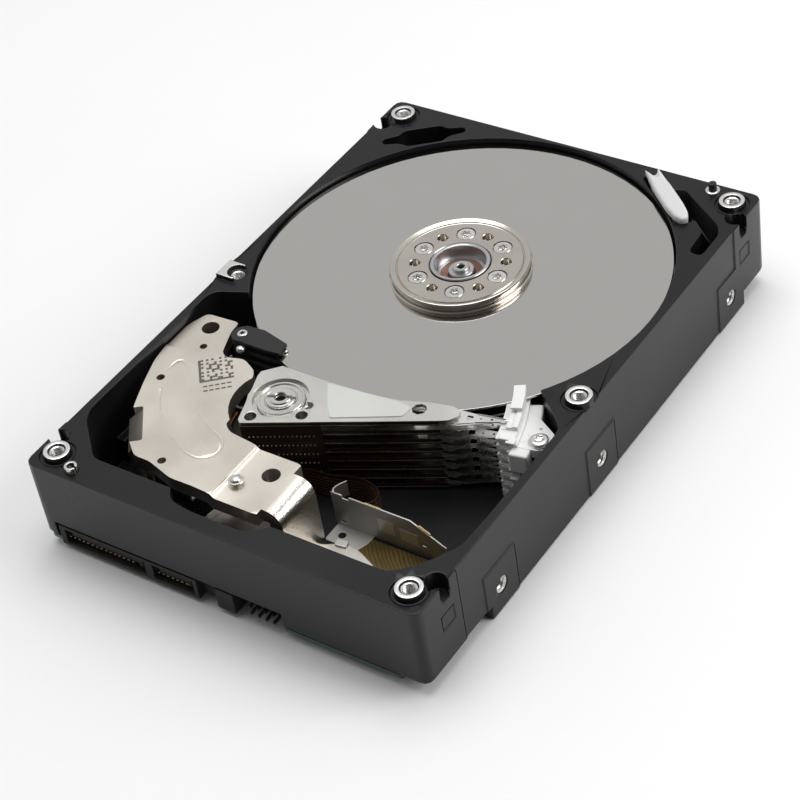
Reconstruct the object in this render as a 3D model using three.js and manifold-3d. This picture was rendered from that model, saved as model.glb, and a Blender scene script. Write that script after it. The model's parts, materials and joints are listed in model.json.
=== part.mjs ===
// A 3.5-inch hard disk drive with its cover off: a cast base that holds a stack of seven disks
// on a spindle motor, and a head actuator that swings eight arms between them.
//
// Units are millimetres. The origin is at the middle of the drive's bottom. +X runs across the
// drive, +Y from the connector end to the spindle end, and +Z up, out of the open top.

import * as THREE from 'three';
import { mergeVertices } from 'three/addons/utils/BufferGeometryUtils.js';
import Module from 'manifold-3d';

const wasm = await Module();
wasm.setup();

// ---------------------------------------------------------------- driving dimensions

const WIDTH = 101.6;
const LENGTH = 147;
const HALF_W = WIDTH / 2;
const HALF_L = LENGTH / 2;
const RIM_Z = 24; // top of the walls, under the missing cover
const BOSS_Z = 25.1; // machined tops of the cover-screw bosses
const PIN_Z = 26.1; // top of the tall locating pin, the drive's full height
const FLOOR_Z = 4;
const BOARD_BAY_Z = 2.8; // underside of the floor above the circuit board
const DISK_BAY_Z = 1.2; // underside of the floor below the disks
const END_Z = 3.6; // underside of the walls at the two ends
const RAIL_X = 44.2; // inner edge of the two bottom rails
const RAIL_FRONT = -49.5;
const RAIL_BACK = 62.9;
const WALL_X = 48.5; // inner face of the long side walls
const ABOVE = RIM_Z + 4; // cuts run up past every solid
const BELOW = -1;

const SPINDLE = [-0.5, 23.5];
const DISK_COUNT = 7;
const DISK_R = 48.5;
const DISK_BORE_R = 12.5;
const DISK_T = 0.635;
const DISK_PITCH = 2.6;
const TOP_DISK_Z = 22.4;
const WELL_R = 49.1;
const HUB_R = 12.3;
const FLANGE_R = 15.8;
const FLANGE_BOTTOM_Z = 5;
const CLAMP_SCREW_RING_R = 10.6;
const CLAMP_SCREW_COUNT = 6;
const CLAMP_SCREW_START = 55; // degrees
const SHAFT_R = 3;

const PIVOT = [-11.7, -32.2];
const ARM_ANGLE = 17.7; // degrees, heads parked on the ramp
const ARM_COUNT = DISK_COUNT + 1;
const ARM_T = 0.9;
const ARM_BORE_R = 5.5;
const HEAD_TIP_R = 52; // pivot to the end of the lift tab
const COIL_ANGLE = 187.3; // degrees from the arms
const COIL_Z = [10.4, 15.8];
const PIVOT_TOP_Z = 23.6;
const PIVOT_SWEEP_R = 11.9; // everything fixed stays outside this radius behind the pivot

const MAGNET_T = 2.5;
const YOKE_T = 3.4;
const LOWER_YOKE_Z = FLOOR_Z;
const UPPER_YOKE_Z = 18.8;
const YOKE_JOIN_Z = 10.2; // where the two yokes meet at their folded side

const BOARD_Z = [1.4, 2.4];
const HOLE_R = 1.75; // 6-32 mounting holes
const SIDE_HOLE_Z = 6.35;
const SIDE_HOLES = [28.5, 70.1, 130.1]; // from the connector end
const BOTTOM_HOLES = [41.28, 85.73, 117.48]; // from the connector end
const BOTTOM_HOLE_INSET = 3.18;

const COVER_BOSSES = [
  [-45.7, -68.1],
  [45.7, -68.1],
  [45.7, 68.1],
  [-45.7, 68.1],
  [47.55, -5.1],
];
const PAD_HOLE = [-46.4, -1.3];
const BOSS_R = 3.2;
const BOSS_HOLE_R = 1.45;
const FRONT_PIN = [-39.3, -70.9];
const BACK_PIN = [39.3, 70.9];
const BOARD_SCREWS = [
  [-44.9, -63.4],
  [40.5, -69.6],
  [42, -30],
];
const RAMP_SCREW = [44.7, -17.4];
const RAMP_FOOT_Z = 18.5;
const SPOILER = [-32.8, -17.9];
const LATCH_PIVOT = [-3, -66.3];

// ---------------------------------------------------------------- shape helpers

const rad = THREE.MathUtils.degToRad;

/** The top surface of disk k, counted from the top. */
const diskTop = (k) => TOP_DISK_Z - DISK_PITCH * k;

/** The middle height of arm k, counted from the top. */
const armMiddle = (k) => TOP_DISK_Z + (DISK_PITCH - DISK_T) / 2 - DISK_PITCH * k;

/** A point at a radius and an angle in degrees. */
function polar(radius, degrees, [cx, cy] = [0, 0]) {
  return [cx + radius * Math.cos(rad(degrees)), cy + radius * Math.sin(rad(degrees))];
}

/** Turns a closed three.js geometry into a solid that can be joined and cut. */
function solid(geometry) {
  const bare = geometry.clone();
  bare.deleteAttribute('normal');
  bare.deleteAttribute('uv');
  const merged = mergeVertices(bare);
  const corners = merged.index.array;
  const kept = [];
  for (let i = 0; i < corners.length; i += 3) {
    const [a, b, c] = [corners[i], corners[i + 1], corners[i + 2]];
    if (a !== b && b !== c && c !== a) kept.push(a, b, c);
  }
  const mesh = new wasm.Mesh({
    numProp: 3,
    vertProperties: Float32Array.from(merged.attributes.position.array),
    triVerts: Uint32Array.from(kept),
  });
  return new wasm.Manifold(mesh);
}

function join(...solids) {
  return solids.reduce((whole, next) => whole.add(next));
}

function cut(whole, ...tools) {
  return tools.reduce((rest, tool) => rest.subtract(tool), whole);
}

/** A closed outline with its corners rounded by one radius, or by a corner's own third number. */
function outline(corners, radius = 0) {
  const shape = new THREE.Shape();
  const points = corners.map(([x, y]) => new THREE.Vector2(x, y));
  points.forEach((corner, i) => {
    const before = points[(i + points.length - 1) % points.length];
    const after = points[(i + 1) % points.length];
    const room = Math.min(corner.distanceTo(before), corner.distanceTo(after)) / 2;
    const setback = Math.min(corners[i][2] ?? radius, room);
    const start = corner.clone().lerp(before, setback / corner.distanceTo(before));
    const end = corner.clone().lerp(after, setback / corner.distanceTo(after));
    if (i === 0) shape.moveTo(start.x, start.y);
    else shape.lineTo(start.x, start.y);
    if (setback > 0) shape.quadraticCurveTo(corner.x, corner.y, end.x, end.y);
  });
  shape.closePath();
  return shape;
}

/** A part of a ring between two radii, spanning an angle either side of a middle angle. */
function sector(inner, outer, middle, half) {
  const shape = new THREE.Shape();
  shape.absarc(0, 0, outer, rad(middle - half), rad(middle + half), false);
  shape.absarc(0, 0, inner, rad(middle + half), rad(middle - half), true);
  shape.closePath();
  return shape;
}

function slab(shape, z0, z1, curveSegments = 3) {
  const geometry = new THREE.ExtrudeGeometry(shape, {
    depth: z1 - z0,
    bevelEnabled: false,
    curveSegments,
  });
  return solid(geometry.translate(0, 0, z0));
}

function box(x, y, z) {
  const geometry = new THREE.BoxGeometry(x[1] - x[0], y[1] - y[0], z[1] - z[0]);
  geometry.translate((x[0] + x[1]) / 2, (y[0] + y[1]) / 2, (z[0] + z[1]) / 2);
  return solid(geometry);
}

function rod(radius, [x, y], z0, z1, segments = 16) {
  const geometry = new THREE.CylinderGeometry(radius, radius, z1 - z0, segments);
  geometry.rotateX(Math.PI / 2).translate(x, y, (z0 + z1) / 2);
  return solid(geometry);
}

/** A cylinder along X, from x0 to x1. */
function crossRod(radius, x0, x1, y, z, segments = 12) {
  const geometry = new THREE.CylinderGeometry(radius, radius, x1 - x0, segments);
  geometry.rotateZ(Math.PI / 2).translate((x0 + x1) / 2, y, z);
  return solid(geometry);
}

/** A solid of revolution about Z. The profile is [radius, height] pairs, anticlockwise. */
function turned(profile, segments = 48) {
  const points = profile.map(([r, z]) => new THREE.Vector2(r, z));
  if (profile[0][0] > 0) points.push(points[0].clone());
  const geometry = new THREE.LatheGeometry(points, segments);
  return solid(geometry.rotateX(Math.PI / 2));
}

function ring(inner, outer, z0, z1, segments = 48) {
  return turned([[inner, z0], [outer, z0], [outer, z1], [inner, z1]], segments);
}

/** A six-lobed or slotted drive is cut from a screw head; a screw is a head and a shank. */
function screw(headR, shankR, [x, y], seatZ, headH, shankEnd) {
  const down = shankEnd < seatZ;
  const head = down ? [seatZ, seatZ + headH] : [seatZ - headH, seatZ];
  const shank = down ? [shankEnd, seatZ + headH / 2] : [seatZ - headH / 2, shankEnd];
  const face = down ? head[1] : head[0];
  const drive = new THREE.Shape();
  const lobes = 6;
  for (let i = 0; i < lobes * 2; i += 1) {
    const [px, py] = polar(headR * (i % 2 ? 0.34 : 0.5), (i * 180) / lobes);
    if (i === 0) drive.moveTo(px, py);
    else drive.lineTo(px, py);
  }
  const depth = headH * 0.6;
  const socket = slab(drive, face - depth, face + depth).translate([x, y, 0]);
  return cut(join(rod(headR, [x, y], ...head, 14), rod(shankR, [x, y], ...shank, 8)), socket);
}

function material(color, roughness, metalness) {
  return new THREE.MeshStandardMaterial({ color, roughness, metalness });
}

const FINISH = {
  casting: material(0x1b1b1d, 0.45, 0.3),
  disk: material(0xa9a8a4, 0.2, 1),
  steel: material(0xc4c1bb, 0.3, 1),
  nickel: material(0xb9b1a4, 0.4, 1),
  aluminium: material(0xbdbab4, 0.35, 1),
  magnet: material(0x8d8f92, 0.35, 1),
  copper: material(0xa4562c, 0.4, 0.9),
  blackPlastic: material(0x161617, 0.55, 0),
  whitePlastic: material(0xe9eaec, 0.5, 0),
  board: material(0x1d4a33, 0.5, 0),
  flex: material(0x7a4a14, 0.4, 0),
  rubber: material(0x1a1a1a, 0.8, 0),
  cloth: material(0xe8e7e3, 0.9, 0),
  iron: material(0x55565a, 0.5, 0.8),
};

const drive = new THREE.Group();

/** Adds a named sub-part, made from a solid, to a group. */
function addPart(name, shape, finish, group = drive) {
  const { vertProperties, triVerts } = shape.getMesh();
  const geometry = new THREE.BufferGeometry();
  geometry.setAttribute('position', new THREE.BufferAttribute(vertProperties, 3));
  geometry.setIndex(new THREE.BufferAttribute(triVerts, 1));
  geometry.computeVertexNormals();
  const mesh = new THREE.Mesh(geometry, finish);
  mesh.name = name;
  group.add(mesh);
}

// ---------------------------------------------------------------- base casting

/** The open bay for the actuator, from the disk well to the connector end. */
function actuatorBay() {
  const corners = [
    [-36, -4],
    [-47.1, -8.3],
    [-WALL_X, -10.3],
    [-WALL_X, -53.3],
    [-46.8, -56.8],
    [-37.6, -65.6],
    [38.7, -65.6],
    [43.6, -61],
    [48.2, -53],
    [WALL_X, -43.6],
    [WALL_X, -16.3],
    [47.6, -13.8],
    [44.2, -11],
    [36, -4],
  ];
  const latchBulge = [
    [-17.5, -64],
    [-14.3, -68.5],
    [-8.7, -69.4],
    [5.9, -69.4],
    [9.5, -66.2],
    [12, -64],
  ];
  return join(
    slab(outline(corners, 1.5), FLOOR_Z, ABOVE, 2),
    slab(outline(latchBulge, 1.5), 9, ABOVE, 2),
  );
}

/** The pocket for the recirculation filter and the air channel behind it. */
function filterChannel() {
  const channel = [
    [29, 66.5],
    [33.2, 68.6],
    [46.4, 59.6],
    [48.2, 56.4],
    [48.2, 48.3],
    [45, 48.3],
    [44.5, 56.1],
    [36.6, 62.2],
    [33, 61.5],
  ];
  const pocketLength = 20.6;
  const pocketWidth = 4.6;
  const pocket = new THREE.BoxGeometry(pocketLength, pocketWidth, ABOVE - 8);
  pocket.rotateZ(rad(-40.8)).translate(31.3, 64, (ABOVE + 8) / 2);
  return join(slab(outline(channel, 1.2), 8, ABOVE, 2), solid(pocket));
}

/** A blind six-sided slot with a narrow tongue at each end. */
function cornerSlot() {
  const half = [[-10.3, -1], [-6.1, -1.6], [-4.4, -3.25], [4.4, -3.25], [6.1, -1.6], [10.3, -1]];
  const corners = [...half, ...half.map(([u, v]) => [-u, -v])];
  return slab(outline(corners, 0.8), 10, ABOVE, 2)
    .rotate([0, 0, 37.7])
    .translate([-36.25, 62.9, 0]);
}

/** Round notches through the long sides, near the four corners. */
function edgeNotch(sideX, sideY) {
  const x = sideX * (HALF_W - 2);
  const y = sideY * 63.6;
  const slotX = [sideX * (HALF_W - 2), sideX * (HALF_W + 1)].sort((a, b) => a - b);
  return join(
    rod(2.35, [x, y], 19.5, ABOVE, 16),
    box(slotX, [y - 1.6, y + 1.6], [20.8, ABOVE]),
  );
}

/** The long sides are relieved between the pads around the mounting holes. */
function sideRelief(side) {
  const depth = 0.25;
  const x = [side * (HALF_W - depth), side * (HALF_W + 1)].sort((a, b) => a - b);
  const padHalf = 6;
  const padTop = 13;
  const endY = 59.1;
  const holes = SIDE_HOLES.map((fromEnd) => fromEnd - HALF_L);
  const relief = [
    box(x, [-endY, endY], [padTop, ABOVE]),
    box(x, [-endY, holes[0] - padHalf], [BELOW, padTop + 0.5]),
    box(x, [holes[0] + padHalf, holes[1] - padHalf], [BELOW, padTop + 0.5]),
    box(x, [holes[1] + padHalf, holes[2] - padHalf], [BELOW, padTop + 0.5]),
  ];
  return join(...relief);
}

/** A square pad on the left wall for the sixth cover screw, counterbored. */
function coverPad() {
  const corners = [[-HALF_W, -4.2], [-45.6, -4.2], [-45.6, 1.6], [-HALF_W, 1.6]];
  const pad = slab(outline(corners, 0.6), 20, BOSS_Z);
  return cut(pad, rod(2.2, PAD_HOLE, RIM_Z - 0.4, ABOVE, 16));
}

function baseCasting() {
  const plan = [[-HALF_W, -HALF_L], [HALF_W, -HALF_L], [HALF_W, HALF_L], [-HALF_W, HALF_L]];
  let casting = slab(outline(plan, 2.4), 0, RIM_Z);
  const across = [-HALF_W - 1, HALF_W + 1];

  casting = cut(
    casting,
    box(across, [-HALF_L - 1, RAIL_FRONT], [BELOW, END_Z]),
    box(across, [RAIL_BACK, HALF_L + 1], [BELOW, END_Z]),
    box([-RAIL_X, RAIL_X], [RAIL_FRONT - 1, 6], [BELOW, BOARD_BAY_Z]),
    box([-RAIL_X, RAIL_X], [5, RAIL_BACK + 1], [BELOW, DISK_BAY_Z]),
  );
  const floorEdge = 0.2;
  casting = join(
    casting,
    box([-49.4, 49.4], [-66.8, RAIL_FRONT + 0.5], [BOARD_BAY_Z, FLOOR_Z + floorEdge]),
    rod(WELL_R + 0.5, SPINDLE, DISK_BAY_Z, FLOOR_Z + floorEdge, 60)
      .subtract(box(across, [-40, 6], [BELOW, BOARD_BAY_Z])),
    ...COVER_BOSSES.map((place) => rod(BOSS_R, place, 20, BOSS_Z, 20)),
    coverPad(),
  );

  casting = cut(
    casting,
    rod(WELL_R, SPINDLE, FLOOR_Z, ABOVE, 72),
    actuatorBay(),
    filterChannel(),
    cornerSlot(),
    rod(17.4, SPINDLE, 2.6, FLOOR_Z + 1, 32),
  );
  casting = join(
    casting,
    ring(5.1, 6.4, 2.4, 7.8, 24).translate([...SPINDLE, 0]),
    rod(2.9, RAMP_SCREW, 3, RAMP_FOOT_Z, 16),
    rod(3, BOARD_SCREWS[2], 3, 8, 16),
    box([46.2, 49], [-48.6, -41.4], [3, 11]),
    box([-49, -46.2], [-48.6, -41.4], [3, 11]),
  );

  const holeDepth = 3.8;
  const tools = [
    ...COVER_BOSSES.map((place) => rod(BOSS_HOLE_R, place, 15, ABOVE, 12)),
    rod(BOSS_HOLE_R, PAD_HOLE, 15, ABOVE, 12),
    rod(1.5, FRONT_PIN, 18, ABOVE),
    rod(1, BACK_PIN, 18, ABOVE),
    rod(1.2, RAMP_SCREW, 13, ABOVE, 12),
    ...BOARD_SCREWS.map((place) => rod(1.2, place, BELOW, 7.6, 12)),
    box([-47, 14.5], [-HALF_L - 1, -66.8], [BELOW, 7.4]),
  ];
  for (const side of [-1, 1]) {
    tools.push(sideRelief(side), edgeNotch(side, -1), edgeNotch(side, 1));
    for (const fromEnd of SIDE_HOLES) {
      const x = [side * (HALF_W - holeDepth), side * (HALF_W + 1)].sort((a, b) => a - b);
      tools.push(crossRod(HOLE_R, ...x, fromEnd - HALF_L, SIDE_HOLE_Z));
    }
    for (const fromEnd of BOTTOM_HOLES) {
      const place = [side * (HALF_W - BOTTOM_HOLE_INSET), fromEnd - HALF_L];
      tools.push(rod(HOLE_R, place, BELOW, 3, 12));
    }
  }
  return cut(casting, ...tools);
}

// ---------------------------------------------------------------- circuit board and connector

const CONNECTOR_X = [-46.4, 1.7];
const BOARD_NOTCH = [-46.8, 14.3];

function circuitBoard() {
  const wide = outline([[-50, -72.7], [43.6, -72.7], [43.6, -50], [-50, -50]], 0.8);
  const rearCorners = [[-43.9, -51], [43.9, -51], [43.9, 4.5], [-43.9, 4.5]];
  const notch = box(BOARD_NOTCH, [-74, -66.6], [0, 4]);
  return cut(
    join(
      slab(wide, ...BOARD_Z),
      slab(outline(rearCorners, 1), ...BOARD_Z),
    ),
    notch,
    rod(21, SPINDLE, 0, 4, 32),
    ...BOARD_SCREWS.map((place) => rod(1.25, place, 0, 4, 12)),
  );
}

/** The plug housing: two open sockets, each with a flat tongue that carries its contacts. */
function dataConnector() {
  const z = [1.2, 6.9];
  const socketZ = [2.1, 6];
  const tongueZ = [3.9, 5.1];
  const front = -HALF_L + 0.1;
  const sockets = [[-44.8, -22.4], [-20.2, -9.2]];
  let housing = box(CONNECTOR_X, [front, -66.9], z);
  for (const x of sockets) {
    housing = housing.subtract(box(x, [front - 1, -68.4], socketZ));
    housing = housing.add(box([x[0] + 1.2, x[1] - 1.2], [front + 0.8, -68.3], tongueZ));
    housing = housing.add(box([x[1] - 2.4, x[1] - 1.2], [front + 0.8, -68.3], [3, tongueZ[1]]));
  }
  const step = box([-8, -3], [front - 1, -71.4], [0, z[1] + 1]);
  return housing.subtract(step);
}

function jumperPins() {
  const pinHalf = 0.32;
  const pitch = 2;
  const rows = [3.2, 5.2];
  const block = box([4.4, 13.4], [-70.2, -66.9], [1.8, 6.6]);
  const pins = [];
  for (let column = 0; column < 4; column += 1) {
    for (const z of rows) {
      const x = 5.9 + column * pitch;
      pins.push(box([x - pinHalf, x + pinHalf], [-73.3, -69], [z - pinHalf, z + pinHalf]));
    }
  }
  return join(block, ...pins);
}

// ---------------------------------------------------------------- spindle and disks

const spindle = new THREE.Group();
spindle.position.set(SPINDLE[0], SPINDLE[1], 0);

function clampScrewPlaces(offset = 0) {
  return Array.from({ length: CLAMP_SCREW_COUNT }, (_, i) =>
    polar(CLAMP_SCREW_RING_R, CLAMP_SCREW_START + offset + (i * 360) / CLAMP_SCREW_COUNT));
}

function spindleHub() {
  const flangeTop = diskTop(DISK_COUNT - 1) - DISK_T;
  const profile = [
    [3.3, 8.6],
    [4.6, 8.6],
    [4.6, 18.2],
    [11.2, 18.2],
    [11.2, FLANGE_BOTTOM_Z],
    [FLANGE_R, FLANGE_BOTTOM_Z],
    [FLANGE_R, flangeTop],
    [HUB_R, flangeTop],
    [HUB_R, 22.2],
    [7.3, 22.2],
    [7.3, 24.3],
    [6.4, 24.3],
    [6.4, 20.8],
    [3.3, 20.8],
  ];
  const screwHoles = clampScrewPlaces().map((place) => rod(1.1, place, 19, 23, 8));
  return cut(turned(profile, 24), ...screwHoles);
}

/** The clamp ring: a dished plate with a raised, grooved rim that presses on the top disk. */
function diskClamp() {
  const face = 24.1;
  const top = 24.9;
  const profile = [
    [7.6, TOP_DISK_Z],
    [16.7, TOP_DISK_Z],
    [16.7, 23.2],
    [16.05, 23.4],
    [16.05, 23.8],
    [16.4, 24],
    [16.4, top],
    [14.8, top],
    [14.5, face],
    [7.6, face],
  ];
  const holes = [
    ...clampScrewPlaces().map((place) => rod(1.2, place, 20, 26, 8)),
    ...clampScrewPlaces().map((place) => rod(2.3, place, 23.7, 26, 10)),
    ...clampScrewPlaces(-30).map((place) => rod(0.95, place, 22.9, 26, 8)),
  ];
  return cut(turned(profile, 32), ...holes);
}

function spindleShaft() {
  return turned([
    [0, 2.6],
    [4.4, 2.6],
    [4.4, 3.4],
    [SHAFT_R, 3.4],
    [SHAFT_R, 22.7],
    [2.1, 22.7],
    [2.1, 23.3],
    [0.9, 23.3],
    [0.9, 19],
    [0, 19],
  ], 16);
}

function motorStator() {
  const teeth = 9;
  const rootR = 6.7;
  const tipR = 9.4;
  const toothHalf = 12; // degrees
  const shape = new THREE.Shape();
  for (let i = 0; i < teeth; i += 1) {
    const middle = (i * 360) / teeth;
    const corners = [
      polar(rootR, middle - toothHalf),
      polar(tipR, middle - toothHalf),
      polar(tipR, middle + toothHalf),
      polar(rootR, middle + toothHalf),
    ];
    corners.forEach(([x, y], n) => (i === 0 && n === 0 ? shape.moveTo(x, y) : shape.lineTo(x, y)));
  }
  shape.closePath();
  return cut(slab(shape, 7.8, 13.8), rod(5.05, [0, 0], 7, 15, 24));
}

// ---------------------------------------------------------------- head actuator

const actuator = new THREE.Group();
actuator.position.set(PIVOT[0], PIVOT[1], 0);
actuator.rotation.z = rad(ARM_ANGLE);

/** The arm block in its own axes: +X runs along the arms, and the pivot is the origin. */
function armBlock() {
  const armCorners = [
    [-2.85, 10.2],
    [-7.16, 7.85],
    [-7.45, 6.4],
    [-7.2, -8],
    [-6.5, -9],
    [35, -3.06],
    [38.6, -2.3],
    [40.3, -0.8],
    [40.3, 1],
    [38.4, 2.1],
    [33, 2.7],
    [26.4, 2.5],
    [19.3, 3.6],
    [9.3, 6.27],
  ];
  const coreCorners = [
    [-2.85, 10.2],
    [-7.16, 7.85],
    [-7.45, 6.4],
    [-7.2, -8],
    [-6.5, -9],
    [10.9, -6.5],
    [10.2, -5],
    [3, -4],
    [-2, 0],
  ];
  const bottom = armMiddle(ARM_COUNT - 1) - ARM_T / 2;
  const top = armMiddle(0) + ARM_T / 2;
  let block = join(slab(outline(coreCorners), bottom, top), rod(7.6, [0, 0], bottom, top, 20));
  for (let k = 0; k < ARM_COUNT; k += 1) {
    const middle = armMiddle(k);
    block = block.add(slab(outline(armCorners), middle - ARM_T / 2, middle + ARM_T / 2, 2));
  }
  return cut(
    block,
    rod(ARM_BORE_R, [0, 0], BELOW, ABOVE, 20),
    rod(1.4, [-4.8, -6.7], 17, ABOVE, 12),
    rod(1.4, [6.4, -4.9], 17, ABOVE, 12),
    rod(1.2, [6.9, -1.7], 20.5, ABOVE, 12),
    rod(1.7, [31.4, 0.3], BELOW, ABOVE, 8),
  );
}

/** One arm's pair of suspensions: leaves above and below the arm tip, heads and a lift tab. */
function headSuspension(k) {
  const middle = armMiddle(k);
  const leafT = 0.2;
  const outer = ARM_T / 2 + leafT;
  const beamHalf = 0.22;
  const corners = [
    [35.4, -1.9],
    [40.6, -2.2],
    [48.8, -0.75],
    [50.6, -0.5],
    [HEAD_TIP_R, -0.3],
    [HEAD_TIP_R, 0.3],
    [50.6, 0.5],
    [48.8, 0.75],
    [40.6, 2.1],
    [35.4, 1.9],
  ];
  const whole = slab(outline(corners), middle - outer, middle + outer);
  const slot = box([30, 40.75], [-5, 5], [middle - ARM_T / 2, middle + ARM_T / 2]);
  const above = box([41.6, 60], [-5, 5], [middle + beamHalf, middle + 2]);
  const below = box([41.6, 60], [-5, 5], [middle - 2, middle - beamHalf]);
  const head = box([47.4, 48.7], [-0.5, 0.5], [middle - 0.72, middle + 0.72]);
  return join(cut(whole, slot, above, below), head);
}

const COIL_SPAN = { inner: 12.6, outer: 29.6, half: 21.5 };

function voiceCoil() {
  const { inner, outer, half } = COIL_SPAN;
  return cut(
    slab(sector(inner, outer, COIL_ANGLE, half), ...COIL_Z, 10),
    slab(sector(inner + 4.4, outer - 4.4, COIL_ANGLE, half * 0.5), BELOW, ABOVE, 6),
  );
}

/** The moulded frame that carries the coil on the back of the arm block. */
function coilFrame() {
  const gap = 0.3;
  const { inner, outer, half } = COIL_SPAN;
  const rim = slab(sector(8.4, outer + 1.2, COIL_ANGLE, half + 4), 10.7, 15.5, 10);
  const pocket = slab(sector(inner - gap, outer + gap, COIL_ANGLE, half + 1.4), BELOW, ABOVE, 10);
  const front = box([-7.75, 20], [-30, 30], [BELOW, ABOVE]);
  return cut(rim, pocket, front);
}

// ---------------------------------------------------------------- voice-coil motor yokes

const FOLD = { inner: 4.6, outer: 8, y: [-60.4, -48.6], radius: 4.4 };

/** The yoke plate's plan, without its folded side. Its hollow edge clears the arm block. */
function yokePlan() {
  return outline([
    [-46.2, -13.9],
    [-37.4, -13.4],
    [-37.2, -16.9],
    [-34.8, -23.4],
    [-32.8, -25],
    [-28.3, -23.7],
    [-23.8, -26],
    [-19, -36],
    [-19.2, -43],
    [-16.7, -44.7],
    [-8.8, -45.6],
    [-8.8, -62.2],
    [-14.4, -61.9],
    [-19.9, -62],
    [-27.3, -59.8],
    [-31.5, -59.8],
    [-38.1, -54.4],
    [-38.9, -50.9],
    [-41.6, -47.3],
    [-44.6, -40],
    [-47.2, -32.5],
    [-48, -26.8],
    [-48.1, -19],
  ], 1.2);
}

function pivotClearance() {
  return rod(PIVOT_SWEEP_R, PIVOT, BELOW, ABOVE, 36);
}

/** An outline in X and Z, run along Y from y0 to y1. */
function along(corners, radius, y0, y1) {
  const geometry = new THREE.ExtrudeGeometry(outline(corners, radius), {
    depth: y1 - y0,
    bevelEnabled: false,
    curveSegments: 6,
  });
  return solid(geometry.rotateX(Math.PI / 2).translate(0, y1, 0));
}

function foldedLeg() {
  const leg = new THREE.BoxGeometry(2.6, 11, UPPER_YOKE_Z + 2 - (LOWER_YOKE_Z + YOKE_T));
  const [x, y] = polar(33.2, 217, PIVOT);
  leg.rotateZ(rad(217)).translate(x, y, (UPPER_YOKE_Z + 2 + LOWER_YOKE_Z + YOKE_T) / 2);
  return solid(leg);
}

function upperYoke() {
  const top = UPPER_YOKE_Z + YOKE_T;
  const step = 1; // the tab lies this much lower than the plate
  const tab = [[-10, UPPER_YOKE_Z], [-10, top], [-9.2, top], [-8, top - step], [3, top - step]];
  const tabUnder = [[3, UPPER_YOKE_Z - step], [-9, UPPER_YOKE_Z - step]];
  const tabPlan = [[-12, -45.6], [2.4, -45.6], [6.2, -47.6], [6.2, -61.4], [2, -62.2], [-12, -62.2]];
  const fold = [
    [-1, UPPER_YOKE_Z - step],
    [FOLD.inner, UPPER_YOKE_Z - step],
    [FOLD.inner, YOKE_JOIN_Z],
    [FOLD.outer, YOKE_JOIN_Z],
    [FOLD.outer, top - step, FOLD.radius],
    [-1, top - step],
  ];
  const tabSolid = along([...tab, ...tabUnder], 0, -62.2, -45.6);
  return cut(
    join(
      slab(yokePlan(), UPPER_YOKE_Z, top, 3),
      tabSolid.intersect(slab(outline(tabPlan, 0.8), BELOW, ABOVE)),
      along(fold, 0, ...FOLD.y),
      foldedLeg(),
    ),
    pivotClearance(),
    rod(2.1, [-42.5, -17.7], BELOW, ABOVE, 20),
    rod(0.9, [-40, -23.7], BELOW, ABOVE, 12),
    rod(1, [-42.1, -36.8], BELOW, ABOVE, 12),
    rod(1, [-24.8, -58.5], BELOW, ABOVE, 12),
    rod(2.1, [-1.1, -51.1], BELOW, ABOVE, 20),
  );
}

function lowerYoke() {
  const top = LOWER_YOKE_Z + YOKE_T;
  const foot = [[-12, -46], [FOLD.outer, -48.2], [FOLD.outer, -60.8], [-12, -62.2]];
  return cut(
    join(
      slab(yokePlan(), LOWER_YOKE_Z, top, 3),
      slab(outline(foot, 0.8), LOWER_YOKE_Z, top),
      box([FOLD.inner, FOLD.outer], FOLD.y, [LOWER_YOKE_Z + 1, YOKE_JOIN_Z]),
    ),
    pivotClearance(),
  );
}

function magnet(z) {
  return slab(sector(13.2, 29.4, 224, 38), z, z + MAGNET_T, 12).translate([...PIVOT, 0]);
}

// ---------------------------------------------------------------- small parts in the bay

/** The lever that swings into the coil frame's way when the drive is knocked. */
function inertiaLatch() {
  const lever = [
    [-4.6, -64.7],
    [-17.1, -63.9],
    [-27.2, -61.3],
    [-29.9, -60.1],
    [-31.1, -59.4],
    [-31.9, -60],
    [-30.4, -62.6],
    [-17.1, -65.3],
    [-4.5, -67.7],
  ];
  const weight = [[-4, -64.4], [6.4, -63.6], [7.4, -65.6], [5.6, -68.4], [-4, -68.4]];
  const z = [11, 15.2];
  return cut(
    join(
      slab(outline(lever, 0.4), ...z),
      slab(outline(weight, 1), ...z),
      rod(2.6, LATCH_PIVOT, ...z, 20),
    ),
    rod(1.15, LATCH_PIVOT, BELOW, ABOVE, 12),
  );
}

/** A moulded comb whose blades reach a little way over each disk, to steady the air. */
function airflowSpoiler() {
  const bladeT = 0.8;
  const corners = [
    [-33.4, -15.3],
    [-28.6, -14.9],
    [-21.2, -16.7],
    [-20.7, -20.2],
    [-24.4, -20.6],
    [-31.8, -20.5],
  ];
  let comb = rod(2.6, SPOILER, FLOOR_Z, 23.6, 16);
  for (let k = 0; k < ARM_COUNT; k += 1) {
    const middle = armMiddle(k);
    comb = comb.add(slab(outline(corners), middle - bladeT / 2, middle + bladeT / 2));
  }
  return comb;
}

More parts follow.
